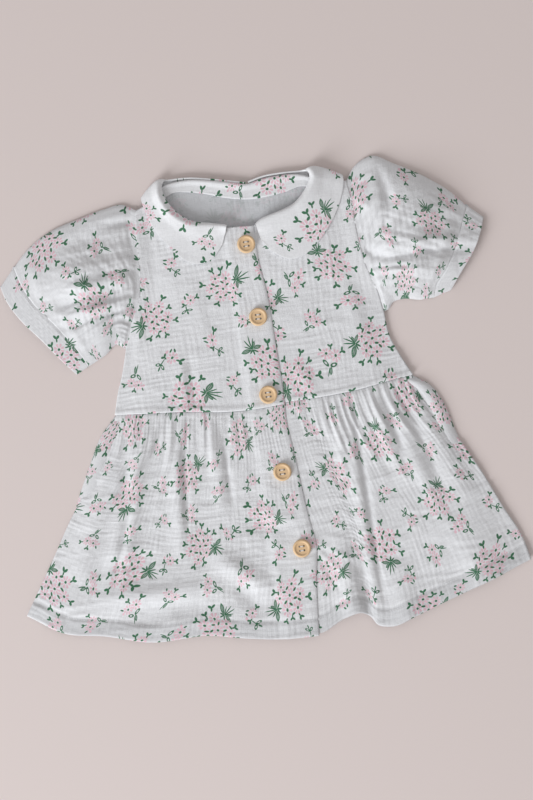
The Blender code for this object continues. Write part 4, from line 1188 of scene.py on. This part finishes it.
SleeveLook = namedtuple(
    "SleeveLook", "armhole under top seam edge out loft folds creases cuff_loft pull pleats underarm ground"
)
SLEEVES = {
    "right": SleeveLook(
        armhole_right, SLEEVE_UNDER_RIGHT, SLEEVE_TOP_RIGHT, CUFF_SEAM_RIGHT, CUFF_EDGE_RIGHT, -1, SLEEVE_LOFT_RIGHT,
        SLEEVE_FOLDS_RIGHT, SLEEVE_CREASES_RIGHT, CUFF_LOFT_RIGHT, 0.35, 1.4, Place(-104, 115), overlap_under,
    ),
    "left": SleeveLook(
        armhole_left, SLEEVE_UNDER_LEFT, SLEEVE_TOP_LEFT, CUFF_SEAM_LEFT, CUFF_EDGE_LEFT, 1, SLEEVE_LOFT_LEFT,
        SLEEVE_FOLDS_LEFT, SLEEVE_CREASES_LEFT, CUFF_LOFT_LEFT, 0.9, 1.1, Place(106, 128), front_under,
    ),
}
FAN_HEIGHT = 0.4
TUBE_COLUMNS, SLEEVE_ROWS, CUFF_ROWS = 230, 96, 32
SLEEVE_ACROSS, SLEEVE_ALONG, SLEEVE_RUN, CUFF_DEPTH = 170, 100, 120, 18


def sleeve_sheet(sleeve):
    head = moved(sleeve.armhole, sleeve.out * SEAM_GAP, 0)
    sheet = patch(spline(sleeve.under), spline(sleeve.top), lambda s: head(1 - np.asarray(s)), spline(sleeve.seam))
    return tucked(sheet, 2.0, 0.03)


def cuff_sheet(sleeve):
    start, end = moved(spline(sleeve.seam), sleeve.out * CUFF_SEAM_GAP, 0), spline(sleeve.edge)
    return tucked(patch(straight(start(0.0), end(0.0)), straight(start(1.0), end(1.0)), start, end), 1.8, 0.1)


def around(a):
    """The share across a tube and whether the upper wall is meant, for each share of the way around it."""
    upper = a <= 0.5
    half = np.where(upper, 2 * a, 2 - 2 * a)
    return (1 - np.cos(np.pi * half)) / 2, upper


def tube_point(sheet, upper_height, a, t):
    """Points around a flattened tube that lies on the floor, with rounded sides."""
    s, upper = around(a)
    place = sheet(s, t)
    inside = sheet(np.where(s > 0.5, 0.95, 0.05), t)
    side = np.minimum(1.0, np.sin(np.pi * s) / math.sin(math.pi * SLEEVE_EDGE_SHARE))
    out = place - inside
    out /= np.maximum(1e-6, np.linalg.norm(out, axis=1))[:, None]
    place = place + out * (SLEEVE_EDGE_BULGE * np.sqrt(np.clip(1 - side * side, 0, 1)))[:, None]
    half = SLEEVE_EDGE / 2
    lifted = half + half * side + upper_height(s, t, place[:, 0], place[:, 1])
    return *place.T, np.where(upper, lifted, half - half * side)


def puff_height(lofts, folds, creases, small, s, t, x, y):
    """How far the upper wall of a sleeve or a cuff stands over its side."""
    crown = np.sin(np.pi * np.clip(s, 0, 1)) ** 0.75
    full = height_along(lofts, t) - SLEEVE_EDGE
    rise = full + fold_rise(folds, x, y) + fold_rise(creases, x, y) + small
    return np.maximum(0.0, rise) * crown


def tube_map(width, length, shift_x, shift_y):
    """The cloth map of a tube, whose under wall is cut beside its upper one."""
    return lambda a, t: (around(a)[0] * width + np.where(a > 0.5, 190, 0) + shift_x, t * length + shift_y)


def tube(node, sheet, rows, upper_height, flat):
    """A sleeve or a cuff: a closed ring of gauze, open at both ends."""
    mesh, a, t = unit_grid(f"{node}_cloth", TUBE_COLUMNS, rows)
    place_vertices(mesh, *tube_point(sheet, upper_height, a, t), *flat(a, t))
    bm = bmesh.new()
    bm.from_mesh(mesh)
    bmesh.ops.remove_doubles(bm, verts=bm.verts, dist=0.002 * MM)
    top = max(bm.faces, key=lambda face: face.calc_center_median().z)
    if top.normal.z < 0:
        bmesh.ops.reverse_faces(bm, faces=bm.faces)
    bm.to_mesh(mesh)
    bm.free()
    sew(node, mesh, bpy.context.scene.dress_cloth.wall / MM)


class DRESS_OT_sleeves(bpy.types.Operator):
    """Make the two puff sleeves and their elastic cuffs"""

    bl_idname = "dress.sleeves"
    bl_label = "Sleeves"

    def execute(self, context):
        for number, (side, sleeve) in enumerate(SLEEVES.items()):
            self.make(side, sleeve, context.scene.dress_cloth.seed + 30 * (number + 1), 40 + 300 * number)
        return {"FINISHED"}

    def make(self, side, sleeve, seed, shift):
        """One sleeve and its cuff, with its own seed and its own place on the printed cloth."""
        sizes = bpy.context.scene.dress_cloth

        def gathers(s, t):
            across, along = s * SLEEVE_ACROSS, t * SLEEVE_ALONG
            head = 1.3 * noise(across, along, 7.5, 60, seed) * smooth((0.4 - t) / 0.36)
            run = creased(noise(across, t * SLEEVE_RUN, 5.6, 88, seed + 3))
            run = run * smooth((0.95 - s) / 0.75) * smooth((0.97 - t) / 0.2)
            cuff = sleeve.pull * noise(across, along, 6.0, 70, seed + 1) * smooth((t - 0.5) / 0.5)
            return head + sleeve.pleats * run + cuff * smooth((s - 0.3) / 0.3)

        def sleeve_height(s, t, x, y):
            small = gathers(s, t) + 1.2 * sizes.crinkle / MM * crinkle(x, y, seed + 2)
            small = small + FAN_HEIGHT * fan(x, y, sleeve.underarm, seed + 7)
            small = small * (0.25 + 0.75 * smooth((1 - t) / 0.09))
            rise = puff_height(sleeve.loft, sleeve.folds, sleeve.creases, small, s, t, x, y)
            rise = rise + edge_curl((1 - t) * SLEEVE_RUN, 0.15, 1.0)
            seam = sleeve.ground(x, y) + CLOTH + armhole_lift(y) - 0.25 - SLEEVE_EDGE
            return mixed(rise, seam, smooth(1 - t / 0.06))

        def cuff_height(s, t, x, y):
            across = s * SLEEVE_ACROSS
            small = sleeve.pull * noise(across, 80 + t * 20, 6.0, 70, seed + 1)
            small = (small + 0.5 * sleeve.pull * noise(across, t * 20, 3.6, 40, seed + 6)) * smooth((s - 0.3) / 0.3)
            small = small + 0.25 * crinkle(x, y, seed + 2)
            rise = puff_height(sleeve.cuff_loft, sleeve.folds, [], small, s, t, x, y)
            dip = 0.4 + 0.4 * smooth((s - 0.5) / 0.3)
            return rise + edge_curl((1 - t) * CUFF_DEPTH, 0.15, 1.2) - dip * smooth(1 - t / 0.08)

        sleeve_map, cuff_map = tube_map(150, 125, shift, 17), tube_map(130, CUFF_DEPTH, shift + 9, 145)
        tube(f"sleeve_{side}", sleeve_sheet(sleeve), SLEEVE_ROWS, sleeve_height, sleeve_map)
        tube(f"cuff_{side}", cuff_sheet(sleeve), CUFF_ROWS, cuff_height, cuff_map)


# Collar

def collar_points(sections, ground, u, k):
    """The part's own points across the collar, at each share along it."""
    rows = [(s.roll_x, s.roll_y, s.outer_x, s.outer_y, 40 * s.wrap, s.band) for s in sections]
    values = spline(rows)(u)
    roll, outer = values[:, 0:2], values[:, 2:4]
    wrap, band = smooth(values[:, 4] / 40), values[:, 5]
    inward = (roll - outer) / np.linalg.norm(roll - outer, axis=1)[:, None]
    step = COLLAR_STEPS[min(k, len(COLLAR_STEPS) - 1)]
    place = outer + (roll - outer) * step.share
    top = ground(place[:, 0], place[:, 1]) + CLOTH + LAY_GAP + ROLL_HEIGHT * step.height
    under = np.full_like(top, COLLAR_FLOOR + (ROLL_UNDER_RISE if step.share == 1 else 0.0))
    if k == len(COLLAR_STEPS):
        place = place + inward * band[:, None]
        top = top - BAND_DROP
        under = np.full_like(top, COLLAR_TOP_BACK)
    bulge = SHOULDER_BULGE * np.sin(np.pi * wrap) * math.sin(math.pi * min(1.0, k / len(COLLAR_STEPS)))
    return np.stack([place[:, 0], place[:, 1] + bulge, top + (under - top) * wrap], axis=1)


def across_collar(sections, ground, u, w):
    """Points on the collar, smooth across the part's own points."""
    count = len(COLLAR_STEPS)
    levels = [collar_points(sections, ground, u, k) for k in range(count + 1)]
    levels = [2 * levels[0] - levels[1], *levels, 2 * levels[-1] - levels[-2]]
    levels = np.stack(levels)
    reached = np.clip(w, 0, 1) * count
    k = np.minimum(np.floor(reached).astype(int), count - 1)
    t = (reached - k)[:, None]
    rows = np.arange(len(u))
    p0, p1, p2, p3 = (levels[k + i, rows] for i in range(4))
    slope_in, slope_out = (p2 - p0) / 2, (p3 - p1) / 2
    bend = t * t * (3 - 2 * t)
    return p1 * (1 - bend) + p2 * bend + slope_in * t * (1 - t) ** 2 + slope_out * t * t * (t - 1)


FACING_DEPTH, COLLAR_EDGE = 16, 0.55


class DRESS_OT_collar(bpy.types.Operator):
    """Make both halves of the collar and the facing inside the back neck"""

    bl_idname = "dress.collar"
    bl_label = "Collar"

    def execute(self, context):
        sizes = context.scene.dress_cloth
        halves = (("right", COLLAR_RIGHT, overlap_under, 96), ("left", COLLAR_LEFT, front_under, 303))
        for side, sections, ground, shift in halves:
            mesh, u, w = unit_grid(f"collar_{side}_cloth", 190, 46)
            x, y, z = across_collar(sections, ground, u, 1 - w).T
            swell = 0.35 * noise(x, y, 14, 12, sizes.seed + shift) + 0.1 * crinkle(x, y, sizes.seed + shift)
            rim = smooth((1 - w) * 8) * smooth(w * 8)
            place_vertices(mesh, x, y, z + swell * rim, x + shift, y + shift / 3)
            front = max(mesh.polygons, key=lambda face: face.center.z)
            if front.normal.z < 0:
                mesh.flip_normals()
            piece = put(f"collar_{side}_cloth", mesh, finish("lit_printed_collar"))
            wall(piece, COLLAR_CLOTH - 0.2, 1.0)
            rounded = piece.modifiers.new("rounded", "BEVEL")
            rounded.limit_method = "ANGLE"
            rounded.angle_limit = math.radians(50)
            rounded.width = COLLAR_EDGE * MM
            rounded.segments = 2
            keep(piece, f"collar_{side}")
        self.facing()
        return {"FINISHED"}

    def facing(self):
        sizes = bpy.context.scene.dress_cloth
        mesh, u, v = unit_grid("neck_facing_cloth", 120, 20)
        x, y = facing_sheet()(u, v).T
        z = facing_height(u, v, x, y) + 0.12 * crinkle(x, y, sizes.seed + 80)
        place_vertices(mesh, x, y, z, x + 520, y + 12)
        sew(
            "neck_facing", mesh, sizes.wall / MM, "lit_printed_collar"
        )


def facing_sheet():
    """The facing, which runs up over the neck edge to the roll of the collar."""
    ends = places((-72, 213), (77, 203)), places((-73, 219), (79, 206))
    top = moved(spline([ends[1][0], *FACING_TOP, ends[1][1]]), 0, 6.5)
    bottom = spline([ends[0][0], *FACING_BOTTOM, ends[0][1]])
    return patch(straight(top(0.0), bottom(0.0)), straight(top(1.0), bottom(1.0)), top, bottom)


def facing_height(u, v, x, y):
    over_edge = 1.3 * smooth((0.5 - v) / 0.35) + edge_curl(v * FACING_DEPTH, 1.0, 2.5)
    return back_under(x, y) + 2 * CLOTH + LAY_GAP + over_edge + edge_curl((1 - v) * FACING_DEPTH, 0.5, 1.0)


# Buttons

BUTTON_PROFILE = places(
    (0, 0.0), (5, 0.0), (7.8, 0.1), (8.7, 0.7), (9.0, 1.7), (8.8, 2.8), (8.1, 3.45), (7.3, 3.6), (6.7, 3.35),
    (6.3, 2.9), (5.8, 2.7), (4.0, 2.62), (0, 2.6),
)
HOLE_OFFSET, HOLE_RADIUS = 2.1, 1.0
THREAD_STRANDS = (-0.28, 0.22)
STRAND_HEIGHT, STRAND_WIDTH = 2.75, 0.48


def turned_disc(name, middle, bottom):
    """A wooden disc turned from its profile."""
    bm = bmesh.new()
    profile = spline(BUTTON_PROFILE)(np.linspace(0, 1, 44))
    line = [bm.verts.new(Vector((r, 0, z)) * MM) for r, z in profile]
    edges = [bm.edges.new(pair) for pair in zip(line, line[1:])]
    bmesh.ops.spin(
        bm, geom=[*line, *edges], cent=(0, 0, 0), axis=(0, 0, 1), angle=2 * math.pi, steps=56, use_merge=True
    )
    bmesh.ops.remove_doubles(bm, verts=bm.verts, dist=0.001 * MM)
    bmesh.ops.recalc_face_normals(bm, faces=bm.faces)
    bmesh.ops.translate(bm, verts=bm.verts, vec=(middle.x, middle.y, bottom))
    return put(name, mesh_from(bm, name), finish("button_wood"))


def drilled(disc, middle):
    """The disc with its four holes cut through."""
    bm = bmesh.new()
    for across in (-1, 1):
        for along in (-1, 1):
            made = bmesh.ops.create_cone(
                bm, cap_ends=True, segments=20, radius1=HOLE_RADIUS * MM, radius2=HOLE_RADIUS * MM, depth=0.05
            )
            step = Vector((across, along, 0)) * HOLE_OFFSET * MM
            bmesh.ops.translate(bm, verts=made["verts"], vec=step + middle)
    drill = bpy.data.objects.new("drill", mesh_from(bm, "drill"))
    bpy.context.scene.collection.objects.link(drill)
    cut = disc.modifiers.new("holes", "BOOLEAN")
    cut.object = drill
    cut.operation = "DIFFERENCE"
    cut.solver = "EXACT"
    bpy.context.view_layer.update()
    shown = disc.evaluated_get(bpy.context.evaluated_depsgraph_get())
    solid = bpy.data.meshes.new_from_object(shown)
    disc.modifiers.remove(cut)
    disc.data = solid
    bpy.data.objects.remove(drill)
    solid.shade_smooth()
    solid.set_sharp_from_angle(angle=math.radians(40))
    return disc


class DRESS_OT_buttons(bpy.types.Operator):
    """Make the five turned buttons with the thread that holds them"""

    bl_idname = "dress.buttons"
    bl_label = "Buttons"

    def execute(self, context):
        for number in range(1, len(BUTTONS) + 1):
            node = f"button_{number}"
            low, high = (Vector(corner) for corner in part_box(node))
            middle = (low + high) / 2
            disc = drilled(turned_disc(f"wooden_{node}", middle, low.z), middle)
            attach(disc, BODY)
            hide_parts(node)
            rows = []
            for along in (-HOLE_OFFSET, HOLE_OFFSET):
                for strand in THREAD_STRANDS:
                    start = middle + Vector((0, along + strand, 0)) * MM
                    start.z = low.z + STRAND_HEIGHT * MM
                    rows.append((start, Vector((1, 0, 0)), 2 * HOLE_OFFSET + 0.5, STRAND_WIDTH))
            stitches(f"button_thread_{number}", rows)
        return {"FINISHED"}


# Stitching

def stitches(name, rows):
    """Short lengths of thread, each given by its middle in metres, its direction, and its length and width in mm."""
    bm = bmesh.new()
    for middle, along, length, width in rows:
        turn = Vector((1, 0, 0)).rotation_difference(along).to_matrix().to_4x4()
        size = Matrix.Diagonal((length * MM / 2, width * MM / 2, width * MM / 2, 1))
        bmesh.ops.create_uvsphere(
            bm, u_segments=6, v_segments=5, radius=1.0, matrix=Matrix.Translation(middle) @ turn @ size
        )
    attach(put(name, mesh_from(bm, name), finish("sewing_thread")), BODY)


def stitch_line(name, sheet, height, u, v):
    """A row of stitches on a panel, along the shares that u and v give, evenly spaced on the cloth."""
    sizes = bpy.context.scene.dress_cloth
    x, y = sheet(u, v).T
    points = np.stack([x + SHIFT_X, y + SHIFT_Y, height(u, v, x, y) + 0.02], axis=1)
    spans = np.linalg.norm(np.diff(points, axis=0), axis=1)
    reached = np.concatenate([[0.0], np.cumsum(spans)])
    length, pitch = sizes.stitch / MM, (sizes.stitch + sizes.stitch_gap) / MM
    middles = np.arange(pitch, reached[-1] - pitch, pitch)

    def at(distance):
        return np.stack([np.interp(distance, reached, points[:, axis]) for axis in range(3)], axis=1)

    before, after, middle = at(middles - length / 2), at(middles + length / 2), at(middles)
    rows = [
        (Vector(m) * MM, Vector(b - a).normalized(), length, sizes.thread / MM)
        for m, a, b in zip(middle, before, after)
    ]
    stitches(name, rows)


def hem_share(sheet, u, depth):
    """The share down a skirt panel that lies the given depth above its hem."""
    length = np.linalg.norm(sheet(u, np.ones_like(u)) - sheet(u, np.full_like(u, 0.9)), axis=1) * 10
    return 1 - depth / length


class DRESS_OT_stitching(bpy.types.Operator):
    """Sew the rows of stitches that show"""

    bl_idname = "dress.stitching"
    bl_label = "Stitching"

    def execute(self, context):
        depth = context.scene.dress_cloth.hem / MM - 1.6
        for side, start, end in (("right", 0.01, 0.995), ("left", 0.14, 0.99)):
            front, u = SKIRT_FRONTS[side], np.linspace(start, end, 500)
            stitch_line(f"hem_stitches_{side}", front.sheet, front.height, u, hem_share(front.sheet, u, depth))
        for side, sleeve in SLEEVES.items():
            self.cuff(side, sleeve)
        u = np.linspace(0.02, 0.98, 300)
        stitch_line("facing_stitches", facing_sheet(), facing_height, u, np.full_like(u, 0.87))
        return {"FINISHED"}

    def cuff(self, side, sleeve):
        """One row across the top of a cuff, beside its seam."""

        def height(s, t, x, y):
            return SLEEVE_EDGE + puff_height(sleeve.cuff_loft, sleeve.folds, [], 0.25, s, t, x, y)

        s = np.linspace(0.03, 0.97, 400)
        stitch_line(f"cuff_stitches_{side}", cuff_sheet(sleeve), height, s, np.full_like(s, 0.12))


# Stage

ROLL = math.radians(-8.5)
CAMERA_HEIGHT, VIEW_LENGTH, SENSOR = 1.5, 0.8, 36.0
FLOOR_HALF, FLOOR_DROP = 4.0, 0.0003
Lamp = namedtuple("Lamp", "name place size power colour")
LAMPS = table(
    Lamp,
    ("window", (-3.1, -2.6, 1.9), 2.2, 198, (0.945, 0.972, 1.0)),
    ("sky", (0.5, 0.9, 2.2), 2.4, 5, (0.95, 0.97, 1.0)),
)
ROOM_COLOUR, ROOM_STRENGTH = (1.0, 0.965, 0.955, 1), 0.43


def area_light(lamp, target):
    """A square light that looks at a target."""
    data = bpy.data.lights.new(lamp.name, "AREA")
    data.size, data.energy, data.color = lamp.size, lamp.power, lamp.colour
    light = bpy.data.objects.new(lamp.name, data)
    light.location = lamp.place
    light.rotation_euler = (Vector(target) - Vector(lamp.place)).to_track_quat("-Z", "Y").to_euler()
    bpy.context.scene.collection.objects.link(light)


class DRESS_OT_stage(bpy.types.Operator):
    """Set the floor, the lights and the camera"""

    bl_idname = "dress.stage"
    bl_label = "Stage"

    def execute(self, context):
        scene = context.scene
        bm = bmesh.new()
        bmesh.ops.create_grid(bm, x_segments=1, y_segments=1, size=FLOOR_HALF)
        bmesh.ops.translate(bm, verts=bm.verts, vec=(0, 0, -FLOOR_DROP))
        put("floor", mesh_from(bm, "floor"), finish("floor"))

        middle = (SHIFT_X * MM, SHIFT_Y * MM, 0.0)
        for lamp in LAMPS:
            area_light(lamp, middle)
        world = bpy.data.worlds.new("soft room")
        world.use_nodes = True
        background = world.node_tree.nodes["Background"]
        background.inputs["Color"].default_value = ROOM_COLOUR
        background.inputs["Strength"].default_value = ROOM_STRENGTH
        scene.world = world

        data = bpy.data.cameras.new("camera")
        data.sensor_fit = "VERTICAL"
        data.sensor_height = SENSOR
        data.lens = SENSOR * CAMERA_HEIGHT / VIEW_LENGTH
        camera = bpy.data.objects.new("camera", data)
        camera.location = (middle[0], middle[1], CAMERA_HEIGHT)
        camera.rotation_euler = (0, 0, ROLL)
        scene.collection.objects.link(camera)
        scene.camera = camera
        scene.view_settings.view_transform = "Standard"
        return {"FINISHED"}


class DRESS_PT_pieces(bpy.types.Panel):
    """The pieces of the dress, in the order of making."""

    bl_idname = "DRESS_PT_pieces"
    bl_label = "Laid-flat dress"
    bl_space_type = "VIEW_3D"
    bl_region_type = "UI"
    bl_category = "Dress"

    def draw(self, context):
        for operator in OPERATORS:
            self.layout.operator(operator.bl_idname)
        for group in (context.scene.dress_cloth, context.scene.dress_print, context.scene.dress_colours):
            box = self.layout.box()
            for name in group.__annotations__:
                box.prop(group, name)


GROUPS = (ClothSizes, PrintSizes, DressColours)
OPERATORS = (
    DRESS_OT_bodice,
    DRESS_OT_skirt,
    DRESS_OT_sleeves,
    DRESS_OT_collar,
    DRESS_OT_buttons,
    DRESS_OT_stitching,
    DRESS_OT_stage,
)


def register():
    for kind in (*GROUPS, *OPERATORS, DRESS_PT_pieces):
        bpy.utils.register_class(kind)
    bpy.types.Scene.dress_cloth = PointerProperty(type=ClothSizes)
    bpy.types.Scene.dress_print = PointerProperty(type=PrintSizes)
    bpy.types.Scene.dress_colours = PointerProperty(type=DressColours)


def unregister():
    del bpy.types.Scene.dress_colours
    del bpy.types.Scene.dress_print
    del bpy.types.Scene.dress_cloth
    for kind in (DRESS_PT_pieces, *reversed(OPERATORS), *reversed(GROUPS)):
        bpy.utils.unregister_class(kind)


def main():
    register()
    for operator in ("stage", "bodice", "skirt", "sleeves", "collar", "buttons", "stitching"):
        getattr(bpy.ops.dress, operator)()


if __name__ == "__main__":
    main()
